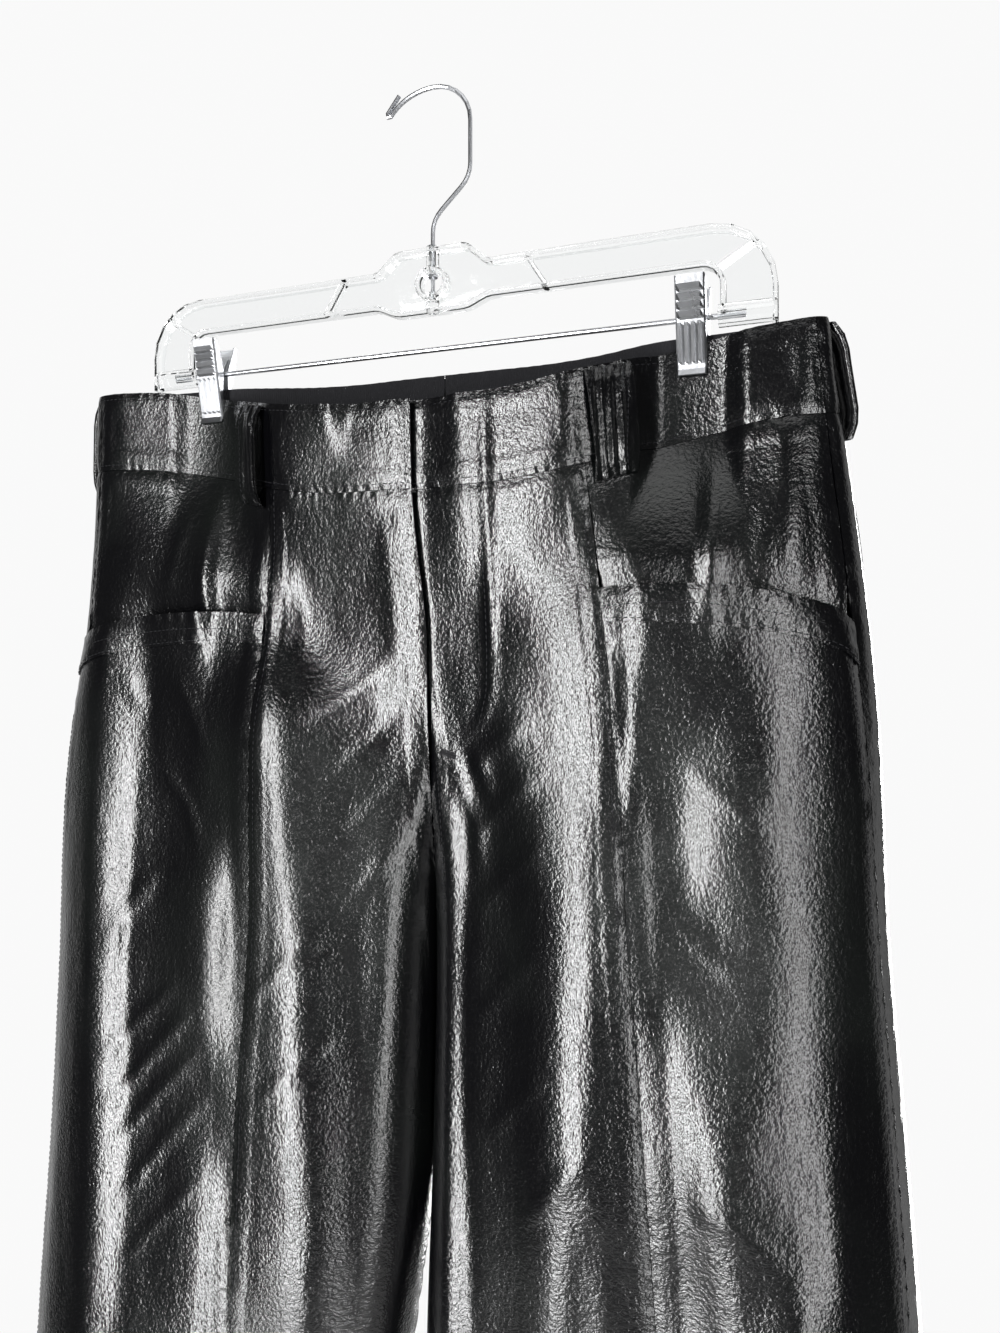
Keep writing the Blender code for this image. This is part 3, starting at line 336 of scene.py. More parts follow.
# %% Table of the front's drag lines
# where they are: height, width towards -X, width towards +X: line x z, x z, ... (all in mm)
FRONT_DRAGS = {
    "right thigh": """
        1.6 7 5: -152 -422, -174 -444, -191 -477
        1.2 4 4: -196 -538, -166 -507, -133 -478
        1.5 4 4: -191 -564, -159 -528, -123 -492
        1.4 4 4: -189 -588, -153 -547, -115 -511
        1.2 4 4: -182 -616, -145 -570, -108 -534
        0.9 4 4: -178 -647, -141 -607, -111 -577
        0.9 4 4: -96 -494, -68 -464, -44 -444
        0.8 4 4: -93 -548, -62 -519, -31 -492""",
    "right pocket": """
        0.9 5 5: -152 -310, -134 -331, -121 -360
        1 5 5: -185 -310, -174 -328, -166 -337""",
    "right thigh, outside": """
        1 5 4: -159 -362, -136 -386, -123 -415""",
    "fly": """
        1.1 5 5: -5 -296, -31 -321, -62 -342
        1.2 5 5: -2 -326, -27 -353, -55 -379
        1 5 4: -3 -362, -23 -384, -47 -408
        0.9 4 4: -9 -398, -27 -422, -43 -446""",
    "lap": """
        1 6 5: -13 -224, -11 -275, -9 -321""",
    "below the clips": """
        3 5 5: -130 -185, -130 -240, -129 -310
        2.4 6 4: 149.5 -185, 150 -220, 150.5 -250, 151 -310""",
    "fly ridge": """
        1.3 3 3: 40.2 -160, 41.8 -228, 42.8 -277, 43 -310
        1.3 3 3: 42.5 -255, 43 -300, 43.5 -320, 39 -333, 32 -341, 22 -350""",
    "lap edge": """
        1 3 3: -1 -150, 0 -200, 2 -250, 4 -290
        1 3 3: 2 -250, 5 -300, 9 -350, 9.5 -400""",
    "crotch pleats": """
        1.8 5 5: 14 -345, 24 -365, 34 -392, 36 -420
        1.4 4 5: 28 -345, 38 -362, 43 -380""",
    "right waist": """
        0.9 5 5: -88 -216, -93 -246, -96 -276
        1.2 6 4: -121 -211, -120 -245, -119 -276
        0.8 5 4: -145 -207, -152 -239, -159 -274""",
    "left outer fold": """
        1.6 8 9: 199 -508, 206 -550, 211 -603""",
    "left princess seam": """
        1.2 8 8: 119 -297, 116 -320, 119 -348""",
    "left thigh": """
        1.1 5 5: 23 -371, 45 -349, 70 -331
        1.2 5 5: 27 -400, 50 -377, 74 -357
        1 5 5: 28 -440, 53 -412, 76 -392
        0.9 5 5: 30 -494, 55 -462, 78 -438
        1.3 5 5: 60 -582, 78 -558, 103 -530
        1 5 5: 37 -547, 60 -519, 78 -499
        1 5 5: 129 -417, 150 -438, 173 -454
        0.9 5 5: 136 -352, 158 -369, 180 -384
        1 6 5: 138 -545, 165 -558, 190 -575""",
    "left waist": """
        1.4 6 6: 148 -188, 147 -229, 150 -272
        1.2 7 6: 106 -217, 111 -245, 114 -273
        1.1 6 6: 175 -222, 173 -253, 176 -280""",
}
print("drag lines of the front:", sum(rows.count(":") for rows in FRONT_DRAGS.values()))

# %% [markdown]
# ## Folds of the back
# Nothing pulls at the back of trousers on a hanger, so it hangs more smoothly. It still shows the
# same kinds: two or three long folds down each leg, slack under the seat, and a few drag lines from
# the clips and the crotch. Each fold is an arch with a crest line, a height and a radius, and the
# sheet follows whichever arch stands highest.

# %% Tables of the back's folds and drag lines
# each fold: level z, place x of the crest, height and radius, ... (all in mm)
BACK_CRESTS = {
    "right hip": "-200 -184 0.2 40, -290 -196 0.4 45, -360 -204 -2 50",
    "right seat": "-200 -118 0.2 60, -300 -108 0.6 90, -420 -100 0.9 100, -520 -104 -1.5 80",
    "right seat inside": "-200 -48 0.1 60, -330 -50 0.3 80, -450 -46 -2.2 60",
    "right outer leg": """-330 -182 -2.6 40, -420 -190 0.8 48, -620 -202 0.9 50, -900 -216 0.7 60,
        -1240 -228 1 70""",
    "right middle leg": """-400 -126 -2.8 60, -500 -130 1 70, -700 -134 0.8 62, -950 -146 1.1 70,
        -1240 -152 1 80""",
    "right inner leg": "-480 -42 -2.6 50, -600 -52 0.6 52, -850 -62 0.3 60, -1240 -72 0.9 70",
    "left hip": "-200 176 0.2 40, -280 190 0.5 42, -350 200 -2 50",
    "left seat": "-200 108 0.2 70, -310 100 0.7 100, -400 94 0.8 90, -500 100 -1.2 80",
    "left seat inside": "-200 52 0.1 60, -320 46 0.4 70, -460 40 -2 60",
    "left outer leg": """-350 180 -2.4 40, -440 188 0.7 44, -600 196 1 48, -880 210 0.8 58,
        -1240 220 0.9 70""",
    "left middle leg": """-420 120 -2.6 60, -540 124 0.9 66, -720 128 1 60, -980 140 0.9 72,
        -1240 145 1.1 80""",
    "left inner leg": "-500 44 -2.4 50, -630 54 0.5 50, -900 64 0.5 62, -1240 70 0.8 70",
}
BACK_DRAGS = {
    "right seat": """
        1.2 6 6: -10 -400, -40 -370, -78 -350
        1.4 6 6: -12 -450, -50 -425, -90 -410
        1 5 6: -20 -500, -58 -482, -90 -470""",
    "right waist": """
        1.1 6 6: -140 -205, -148 -240, -158 -285
        0.9 6 5: -72 -200, -70 -240, -66 -290""",
    "right thigh": """
        1.1 6 6: -150 -470, -172 -440, -200 -420""",
    "left seat": """
        1.3 6 6: 12 -390, 46 -365, 82 -350
        1.2 6 6: 10 -440, 44 -418, 80 -408
        1.1 6 5: 18 -490, 54 -470, 92 -462""",
    "left waist": """
        1 6 6: 138 -206, 144 -245, 156 -290
        1 5 6: 66 -200, 66 -245, 70 -300""",
    "left thigh": """
        1 6 6: 152 -460, 176 -436, 198 -420""",
}
print("folds of the back:", len(BACK_CRESTS), "groups of drag lines:", len(BACK_DRAGS))

# %% [markdown]
# ## Two small helpers
# All the folds need their rows of text as numbers, and a step that starts and ends softly.

# %% Numbers of a row, and a soft step
def numbers(text):
    """The numbers of a table's row, whose places are parted by commas."""
    return np.array([place.split() for place in text.split(",")], float)


def smooth(value, start, end):
    """0 before start, 1 past end, and a soft step between them."""
    share = np.clip((value - start) / (end - start), 0, 1)
    return share * share * (3 - 2 * share)


print("a soft step:", smooth(np.linspace(0, 1, 5), 0, 1))

# %% [markdown]
# ## Arches of the back
# Following the highest arch alone would leave a sharp valley where two meet. The logarithm of the
# sum of their exponentials follows it too, and rounds the valley off.

# %% Heights of the arches
TROUGH, BLEND = -0.003, 0.0007  # floor between the arches, how softly they meet (m)
LOWEST = -0.02  # an arch is cut off below this, far under the floor (m)


def arch_heights(x, z, crests):
    """Height of the arch that stands highest at each point, in metres."""
    total = np.full_like(x, math.exp(TROUGH / BLEND))
    for row in crests.values():
        level, *columns = numbers(row).T / 1000
        crest, top, bend = (np.interp(-z, -level, column) for column in columns)
        arch = top - (x - crest) ** 2 / (2 * bend)
        total += np.exp(np.maximum(arch, LOWEST) / BLEND)
    return BLEND * np.log(total)


on_seat = arch_heights(np.array([-0.108]), np.array([-0.3]), BACK_CRESTS)
print("height of the right seat (mm):", round(1000 * on_seat[0], 2))

# %% [markdown]
# ## From leans to depths
# Summed up across the front, the leans of one level give its profile. Between two levels a cubic
# curve blends their profiles, so no ledge shows where one passes into the next.

# %% Depths of the leaning folds
REACH, STEP = 0.25, 0.001  # half width and step of the profiles across the front (m)


def depth_profiles(leans):
    """Depth of the folds across the front at each level, summed up from the leans."""
    across = np.arange(-REACH, REACH + STEP / 2, STEP)
    profiles = []
    for row in leans.values():
        place, lean = numbers(row).T
        slope = np.tan(np.radians(np.interp(across, place / 1000, lean)))
        depth = np.append(0, np.cumsum((slope[1:] + slope[:-1]) / 2) * STEP)
        fixed = [place[0] / 1000, 0, place[-1] / 1000]  # side seams and middle stay where they are
        profiles.append(depth - np.interp(across, fixed, np.interp(fixed, across, depth)))
    return across, np.array(profiles)


def leaning_depths(x, z, leans):
    """Depth of the hanging folds at each point, in metres."""
    across, profiles = depth_profiles(leans)
    levels = -np.array(list(leans))
    trends = np.gradient(profiles, levels, axis=0)  # how each profile changes on the way down
    trends[[0, -1]] = 0
    place = np.clip((x - across[0]) / STEP, 0, len(across) - 1.001)  # left + 1 is in the table
    left = place.astype(int)

    def at(table, row):
        """The table's value at each point's own place across."""
        return table[row, left] * (1 - place + left) + table[row, left + 1] * (place - left)

    below = np.clip(np.searchsorted(levels, -z) - 1, 0, len(levels) - 2)
    gap = levels[below + 1] - levels[below]
    t = np.clip((-z - levels[below]) / gap, 0, 1)
    rest = 1 - t
    return ((1 + 2 * t) * rest ** 2 * at(profiles, below) + t * t * (3 - 2 * t) * at(profiles, below + 1)
            + gap * t * rest ** 2 * at(trends, below) - gap * t * t * rest * at(trends, below + 1))


print("deepest fold of the front (mm):", round(1000 * np.abs(depth_profiles(FRONT_LEANS)[1]).max(), 1))

# %% [markdown]
# ## Heights of the drag lines
# A drag line is a low ridge with a bell-shaped section that fades out at both ends of its path. How
# far a point is from the path, and on which side, says how high the ridge lifts it.

# %% Heights of the drag lines
DRAG_SHARE = 0.6  # how much of a drag line's height is pressed in
DRAG_FADE = 0.3  # share of its length over which each end fades


def drag_heights(x, z, drags):
    """Sum of the drag lines at each point, in metres."""
    total = np.zeros_like(x)
    for row in chain(*(rows.strip().splitlines() for rows in drags.values())):
        sizes, line = row.split(":")
        (height, before, after), path = numbers(sizes)[0] / 1000, numbers(line) / 1000
        nearest, aside = np.full_like(x, 1e9), np.zeros_like(x)
        reached, length = np.zeros_like(x), 0.0
        for (x0, z0), (x1, z1) in zip(path, path[1:]):
            step = math.hypot(x1 - x0, z1 - z0)
            share = np.clip(((x - x0) * (x1 - x0) + (z - z0) * (z1 - z0)) / step ** 2, 0, 1)
            dx, dz = x - x0 - share * (x1 - x0), z - z0 - share * (z1 - z0)
            gap = np.hypot(dx, dz)
            closer = gap < nearest
            nearest, aside = np.where(closer, gap, nearest), np.where(closer, dx, aside)
            reached = np.where(closer, length + share * step, reached)
            length += step
        width = np.where(aside > 0, after, before)
        ends = smooth(reached / length, 0, DRAG_FADE) * smooth(reached / length, 1, 1 - DRAG_FADE)
        total += DRAG_SHARE * height * np.exp(-(nearest / width) ** 2) * ends
    return total


on_fly = drag_heights(np.array([-0.03]), np.array([-0.32]), FRONT_DRAGS)
print("height beside the fly (mm):", round(1000 * on_fly[0], 2))

# %% [markdown]
# ## Crumple and clips
# Worn cloth is never smooth between its folds. Noise of three sizes gives it soft dents, longer than
# they are wide, because the cloth's own weight pulls it down. Under the clips it is pressed flat.

# %% Crumple, and the flat places under the clips
# dents per metre across, dents per metre down, height (m)
CRUMPLE = ((26, 11, 0.00035), (60, 28, 0.00018), (135, 70, 0.00009))
CRUMPLE_SEED = 1.7
CLIP_X, CLIP_HALF, CLIP_LOW = 0.1385, 0.0145, -0.194  # middle, half width and foot of a flat place
CLIP_FADE_ACROSS, CLIP_FADE_DOWN = 0.014, 0.05


def crumple(points, seed):
    """Soft dents of several sizes, stretched downwards, in metres."""
    return np.array([
        sum(rise * noise.noise(Vector((x * across + seed, y * across * 0.4, z * down + seed * 3)))
            for across, down, rise in CRUMPLE)
        for x, y, z in points])


def away_from_clips(points):
    """0 where a clip presses on the cloth, 1 well away from it."""
    beside = np.abs(np.abs(points[:, 0]) - CLIP_X)
    return np.maximum(smooth(beside, CLIP_HALF, CLIP_HALF + CLIP_FADE_ACROSS),
                      smooth(-points[:, 2], -CLIP_LOW, -CLIP_LOW + CLIP_FADE_DOWN))


print("heights of the dents (mm):", [round(1000 * rise, 2) for _, _, rise in CRUMPLE])

# %% [markdown]
# ## Press the folds into the sheets
# A fold moves the front towards -Y and the back towards +Y, and fades out where the sheet turns
# round the side, so neighbouring panels still meet at their seams.

# %% Press the folds in
FACING = (0.15, 0.75)  # a normal's share along Y where the folds begin and are full
WAIST_SHARE = 0.25  # the share of the crumple that is left at the waist
CALM_DEPTHS = (0.192, 0.262)  # between these depths below the hook it comes back in full
BAND_ABOVE, BAND_WEAR = (-0.2, -0.18), 0.9  # the front of the waistband is creased by wear


def table_of(elements, what):
    """An attribute such as the points or the normals, as rows of three numbers."""
    values = np.empty(len(elements) * 3)
    elements.foreach_get(what, values)
    return values.reshape(-1, 3)


def press_folds(points, normals):
    """Moves the points of a sheet by the folds and the crumple."""
    x, z = points[:, 0], points[:, 2]
    front = smooth(-normals[:, 1], *FACING)
    back = smooth(normals[:, 1], *FACING)
    soft = crumple(points, CRUMPLE_SEED)
    calm = WAIST_SHARE + (1 - WAIST_SHARE) * smooth(-z, *CALM_DEPTHS)
    worn_band = calm + BAND_WEAR * smooth(z, *BAND_ABOVE)
    flat = away_from_clips(points)
    moved = points.copy()
    front_folds = drag_heights(x, z, FRONT_DRAGS) - leaning_depths(x, z, FRONT_LEANS)
    back_folds = drag_heights(x, z, BACK_DRAGS) + arch_heights(x, z, BACK_CRESTS) * calm
    moved[:, 1] += flat * (back * (back_folds + soft * calm) - front * (front_folds + soft * worn_band))
    return moved


pressed = press_folds(np.array([[-0.1, 0.0, -0.5]]), np.array([[0.0, -1.0, 0.0]]))
print("a point of the front moves in by (mm):", round(1000 * pressed[0, 1], 2))

# %% [markdown]
# ## Seams
# Where two panels are sewn, the cloth rolls in at the seam, the allowance underneath lifts a low
# welt beside it, and the thread draws small puckers across. Each comes from the distance to the
# sheet's own edge, so it follows every seam at its real place.

# %% Roll, welt and puckers along the seams
ROLL, ROLL_WIDTH = 0.00045, 0.0034  # how deep the edge rolls in, and how far from it (m)
WELT, WELT_EDGES = 0.00035, ((0.001, 0.004), (0.0125, 0.0095))  # its height, where it rises and falls
PUCKER, PUCKER_ROW, PUCKER_WIDTH = 0.00012, 0.005, 0.006  # height, by which row, how wide (m)
PUCKERS = np.array((34, 34, 120))  # puckers per metre along X, Y and Z
BLOCK = 64  # edge points compared at a time, which saves memory


def open_edges(mesh):
    """The edges that only one face has, as pairs of point numbers."""
    use = Counter(key for face in mesh.polygons for key in face.edge_keys)
    return [key for key, times in use.items() if times == 1]


def edge_distance(points, mesh):
    """Distance of each point from the sheet's open edge, of which every second piece is looked at."""
    nearest = np.full(len(points), 1e9)
    edge = table_of(mesh.vertices, "co")[[start for start, _ in open_edges(mesh)[::2]]]
    for start in range(0, len(edge), BLOCK):
        gaps = np.linalg.norm(points[:, None, :] - edge[None, start:start + BLOCK, :], axis=2)
        nearest = np.minimum(nearest, gaps.min(axis=1))
    return nearest


def seam_relief(points, distance):
    """Height of the seam's roll, welt and puckers at each point."""
    roll = -ROLL * np.exp(-(distance / ROLL_WIDTH) ** 2)
    rises, falls = (smooth(distance, *edge) for edge in WELT_EDGES)
    pucker = np.array([noise.noise(Vector(point * PUCKERS)) for point in points])
    near = np.exp(-((distance - PUCKER_ROW) / PUCKER_WIDTH) ** 2)
    return roll + WELT * rises * falls + PUCKER * pucker * near


for name, sheet in sheets.items():
    mesh = sheet.data
    points, normals = table_of(mesh.vertices, "co"), table_of(mesh.vertices, "normal")
    relief = seam_relief(points, edge_distance(points, mesh)) * away_from_clips(points)
    moved = press_folds(points, normals) + normals * relief[:, None]
    mesh.vertices.foreach_set("co", moved.ravel())
    mesh.update()
print("points moved:", sum(len(sheet.data.vertices) for sheet in sheets.values()))

# %% [markdown]
# ## Belt loops
# A belt loop is a strip folded over itself and sewn at both ends, and lines of stitching run down
# it between low ribs. Its packed solid already has that shape, so a copy is rounded off, gets the
# ribs, and takes the same folds as the band that it lies on.

# %% Belt loops
LOOP_CELL, LOOP_ROUND = 0.0014, 0.00045  # cells, and the width of a rounded edge (m)
RIB_STEP, RIB_HEIGHT = 0.0042, 0.0004
RIB_HALF, RIB_FADE = 0.0088, 0.002  # the ribs end at this distance from the middle


def rib_heights(points, is_side):
    """Height of the ribs at each point of a loop."""
    across = points[:, 1 if is_side else 0].copy()
    across -= (across.min() + across.max()) / 2
    if not is_side:  # the other loops lean with the seam they cover
        across -= np.polyval(np.polyfit(points[:, 2], across, 1), points[:, 2])
    wave = np.cos(across * 2 * math.pi / RIB_STEP)
    return RIB_HEIGHT * wave * smooth(RIB_HALF - np.abs(across), 0, RIB_FADE)


loops = {}
for name in LOOPS:
    loops[name] = loop = copy_of(name, "cloth_" + name)
    only(loop)
    bpy.ops.object.mode_set(mode="EDIT")
    bpy.ops.mesh.select_all(action="SELECT")
    bpy.ops.mesh.tris_convert_to_quads(face_threshold=math.radians(50), shape_threshold=math.radians(80))
    bpy.ops.object.mode_set(mode="OBJECT")
    apply_modifier(loop, "BEVEL", width=LOOP_ROUND, segments=2, angle_limit=math.radians(50))
    cut_to_cells(loop, LOOP_CELL)
    points, normals = table_of(loop.data.vertices, "co"), table_of(loop.data.vertices, "normal")
    points += normals * rib_heights(points, "side" in name)[:, None]
    if "side" not in name:
        facing = np.zeros_like(points)
        facing[:, 1] = 1 if name == "belt_loop_back" else -1
        points = press_folds(points, facing)
    loop.data.vertices.foreach_set("co", points.ravel())
    loop.data.update()
print("faces of the loops:", {name: len(loop.data.polygons) for name, loop in loops.items()})

# %% [markdown]
# ## Stitches
# Black thread holds every seam: rows along both edges of the waistband, beside the long front seams,
# on the pocket bands, round the fly and on the loops. One stitch is a flattened bead a few
# millimetres long, so a low sphere squeezed flat is enough for each.

# %% One stitch
BEAD = (0.00135, 0.00030, 0.00026)  # half of its length, width and height (m)

bpy.ops.object.select_all(action="DESELECT")
bpy.ops.mesh.primitive_ico_sphere_add(subdivisions=1, radius=1)
bead = bpy.context.object
bpy.ops.object.mode_set(mode="EDIT")
bpy.ops.mesh.select_all(action="SELECT")
bpy.ops.transform.resize(value=BEAD)
bpy.ops.object.mode_set(mode="OBJECT")
BEAD_POINTS = table_of(bead.data.vertices, "co")
BEAD_FACES = [tuple(face.vertices) for face in bead.data.polygons]
bpy.data.objects.remove(bead)
print("a stitch has", len(BEAD_FACES), "faces")

# %% [markdown]
# ## Lines for the stitches
# A machine sews at a set distance from an edge. The points round a sheet's open edge are put in
# order and parted at its four corners, which gives each side as a line, and stitches lie a step
# apart along it.

# %% Lines beside the edges of a sheet
STITCH_STEP = 0.0033
NEAR_MIDDLE = 0.012  # nearer the middle than this, an edge counts as on it (m)


def outline(mesh):
    """Points round the sheet's open edge, in order."""
    rim, follows = set(open_edges(mesh)), {}
    for face in mesh.polygons:
        around = list(face.vertices)
        for a, b in zip(around, around[1:] + around[:1]):
            if (min(a, b), max(a, b)) in rim:
                follows[a] = b
    first = next(iter(follows))
    loop, here = [first], follows[first]
    while here != first:
        loop.append(here)
        here = follows[here]
    return [mesh.vertices[i].co.copy() for i in loop]


def four_sides(mesh):
    """The sheet's edge as its top, bottom, inner and outer side."""
    points = outline(mesh)
    across, high = [abs(p.x) if abs(p.x) > NEAR_MIDDLE else 0.0 for p in points], [p.z for p in points]
    low_x, wide = min(across), max(across) - min(across)
    low_z, tall = min(high), max(high) - min(high)
    places = [((a - low_x) / wide, (h - low_z) / tall) for a, h in zip(across, high)]
    corner = {}
    for label, weigh in (("top_inner", lambda u, v: v - u), ("top_outer", lambda u, v: v + u),
                         ("low_outer", lambda u, v: u - v), ("low_inner", lambda u, v: -u - v)):
        corner[label] = max(range(len(places)), key=lambda i: weigh(*places[i]))

    def between(start, end, other):
        """The run of points from one corner to the next that doesn't pass the other corner."""
        a, b, c = corner[start], corner[end], corner[other]
        forward = [(a + k) % len(points) for k in range((b - a) % len(points) + 1)]
        if c in forward[1:-1]:
            forward = [(a - k) % len(points) for k in range((a - b) % len(points) + 1)]
        return [points[i] for i in forward]

    return {"top": between("top_inner", "top_outer", "low_outer"),
            "bottom": between("low_inner", "low_outer", "top_outer"),
            "inner": between("top_inner", "low_inner", "low_outer"),
            "outer": between("top_outer", "low_outer", "low_inner")}


def evenly(line, step):
    """Points a step apart along a line."""
    found, ahead = [], step / 2
    for a, b in zip(line, line[1:]):
        length = (b - a).length
        while length > 0 and ahead <= length:
            found.append(a.lerp(b, ahead / length))
            ahead += step
        ahead -= length
    return found


print("a stitch every", 1000 * STITCH_STEP, "mm")

# %% [markdown]
# ## Rows of stitches
# Each stitch is set on the face of the cloth, in from the edge, and turned along its row. All the
# stitches of a panel become one piece, because a piece for each would be thousands.

# %% Sew a row of stitches
PROUD = 0.00006  # how far a stitch's middle stands off the cloth (m)


def surface_of(piece):
    """The faces of a piece, ready to be searched for the nearest place."""
    return BVHTree.FromPolygons([v.co.copy() for v in piece.data.vertices],
                                [tuple(face.vertices) for face in piece.data.polygons])


def bead_row(points, surface, inset=0.0, crosswise=False):
    """Places of stitches along points, moved into the sheet by the inset, on its face."""
    placed = []
    for before, point, after in zip([points[0]] + points, points, points[1:] + [points[-1]]):
        tangent = (after - before).normalized()
        _, normal, _, _ = surface.find_nearest(point)
        if normal is None or tangent.length == 0:
            continue
        inward = normal.cross(tangent).normalized()
        spots = []
        for way in (inward, -inward):
            spot, spot_normal, _, gap = surface.find_nearest(point + way * inset)
            spots.append((gap, spot, spot_normal))
        _, spot, spot_normal = min(spots, key=lambda item: item[0])
        along = (tangent - spot_normal * tangent.dot(spot_normal)).normalized()
        aside = spot_normal.cross(along)
        if crosswise:
            along, aside = aside, -along
        placed.append((spot + spot_normal * PROUD, along, aside, spot_normal))
    return placed


def sew(name, placed):
    """One piece from all the stitches of a panel."""
    points, faces = [], []
    for spot, along, aside, out in placed:
        start = len(points)
        points += [spot + along * x + aside * y + out * z for x, y, z in BEAD_POINTS]
        faces += [tuple(start + i for i in face) for face in BEAD_FACES]
    mesh = bpy.data.meshes.new(name)
    mesh.from_pydata(points, [], faces)
    thread = bpy.data.objects.new(name, mesh)
    bpy.context.scene.collection.objects.link(thread)
    return thread


print("a stitch stands off the cloth by", 1000 * PROUD, "mm")

# %% [markdown]
# ## Rows beside the seams
# Right and left are sewn alike, so each kind of panel is listed once, with the distance of every row
# from its edge. Only the lap at the middle of the waistband has a row of its own.

# %% Rows beside the seams
# kind of panel: its side and the distance of the row from it (m)
BAND_ROWS = {"top": 0.0035, "bottom": 0.003}
HEM = 0.022
STITCH_ROWS = {
    "waistband_front": BAND_ROWS, "waistband_side": BAND_ROWS, "waistband_back": BAND_ROWS,
    "front_centre": {"outer": 0.0035, "bottom": HEM}, "front_side": {"outer": 0.004, "bottom": HEM},
    "pocket_band": {"top": 0.0092, "bottom": 0.0016}, "back": {"inner": 0.0035, "bottom": HEM},
}
surfaces = {name: surface_of(sheet) for name, sheet in sheets.items()}
sides = {name: four_sides(sheet.data) for name, sheet in sheets.items()}
rows = {name: [] for name in PANELS}
for name in PANELS:
    edges = STITCH_ROWS.get(name.rsplit("_", 1)[0], {}).items()
    lap = [("inner", 0.003)] if name == "waistband_front_right" else []
    for side, inset in [*edges, *lap]:
        rows[name] += bead_row(evenly(sides[name][side], STITCH_STEP), surfaces[name], inset)
print("stitches by the seams:", sum(len(row) for row in rows.values()))

# %% [markdown]
# ## Stitches of the fly
# Two rows in the shape of a J hold the fly, one row runs down beside the crotch seam, and a bartack,
# a bar of close stitches set crosswise, takes the strain where the lap ends. None of them follows an
# edge, so their lines are drawn flat in front of the panel and dropped onto it.

# %% Fly stitches
FLY = "front_centre_left"
FLY_LINE = [(0.0360, -0.197), (0.0385, -0.230), (0.0398, -0.270), (0.0405, -0.305), (0.0400, -0.322),
            (0.0360, -0.337), (0.0300, -0.346), (0.0220, -0.352)]
CROTCH_LINE = [(0.0100, -0.3570), (0.0118, -0.380), (0.0130, -0.410), (0.0135, -0.436)]
ROW_GAP, FOOT = 0.0052, -0.33  # gap of the two rows, and the level where the J turns in
ASIDE, UP = 0.9, 0.5  # shares of the gap that move the second row, up only at its foot
BAR = [(0.0130, -0.3535), (0.0215, -0.3555)]
BAR_GAP, BAR_STEP = 0.0016, 0.0006


def drop_row(line, step=STITCH_STEP, crosswise=False):
    """Sews stitches along an (x, z) line that is dropped onto the fly's panel from in front."""
    flat = [Vector((x, -0.3, z)) for x, z in line]
    hits = [surfaces[FLY].ray_cast(p, Vector((0, 1, 0)))[0] for p in evenly(flat, step)]
    rows[FLY] += bead_row([hit for hit in hits if hit is not None], surfaces[FLY], crosswise=crosswise)


for gap in (0.0, ROW_GAP):
    drop_row([(x - gap * ASIDE, z + (gap * UP if z < FOOT else 0)) for x, z in FLY_LINE])
drop_row(CROTCH_LINE)
for gap in (0.0, BAR_GAP):
    drop_row([(x, z + gap) for x, z in BAR], BAR_STEP, crosswise=True)
threads = {name: sew("thread_" + name, placed) for name, placed in rows.items() if placed}
print("threads:", {name: len(row) for name, row in rows.items() if row})

# %% [markdown]
# ## Stitches of the loops
# A row runs down each side of a belt loop. Its line joins the middles of the loop's two ends, set
# aside by the row's distance, and is dropped onto the loop from outside.

# %% Stitches of the loops
LOOP_ROW, LOOP_STEP = 0.0078, 0.003  # distance from the middle line, length of a stitch and its gap
LOOP_END, LOOP_REACH = 0.006, 0.02  # height of an end, and how far outside the line is drawn


def middle(points):
    """The mean of some points."""
    return sum(points, Vector()) / len(points)


for name, loop in loops.items():
    surface = surface_of(loop)
    low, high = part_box(name)
    outward = Vector((0, 1 if name == "belt_loop_back" else -1, 0))
    if "side" in name:
        outward = Vector((0.8 if high.x > 0 else -0.8, 0.6, 0))
    top = middle([v.co for v in loop.data.vertices if v.co.z > high.z - LOOP_END])
    foot = middle([v.co for v in loop.data.vertices if v.co.z < low.z + LOOP_END])
    across = outward.cross(top - foot).normalized()
    placed = []
    for edge in (-LOOP_ROW, LOOP_ROW):
        line = [end + across * edge + outward * LOOP_REACH for end in (top, foot)]
        hits = [surface.ray_cast(p, -outward)[0] for p in evenly(line, LOOP_STEP)]
        placed += bead_row([hit for hit in hits if hit is not None], surface)
    threads[name] = sew("thread_" + name, placed)
print("loops sewn:", len(loops))

# %% [markdown]
# ## Give the sheets their thickness
# A sheet with no thickness shows no edge at the hem, the pocket mouths and the waist. Solidify
# grows it inwards, so the pressed face stays where it is.

# %% Thickness and smooth shading
for name, sheet in sheets.items():
    outside = len(sheet.data.polygons)
    apply_modifier(sheet, "SOLIDIFY", thickness=CLOTH, offset=-1, use_even_offset=False)
    slots = np.zeros(len(sheet.data.polygons), dtype=np.int32)
    slots[outside:2 * outside] = 1  # Solidify lists the inner faces second
    sheet.data.materials.clear()
    for _ in range(2):  # outer face, then the knitted backing
        sheet.data.materials.append(None)
    sheet.data.polygons.foreach_set("material_index", slots)
for piece in [*sheets.values(), *loops.values(), *threads.values()]:
    only(piece)
    bpy.ops.object.shade_smooth_by_angle(angle=math.radians(45))
print("triangles of the cloth:", sum(2 * len(sheet.data.polygons) for sheet in sheets.values()))

# %% [markdown]
# ## Node maths
# A finish is a small calculation: grain plus wrinkles, times a mask. Written as Python it reads
# like one. The class below wraps a socket, so that adding two of them adds the Math node.

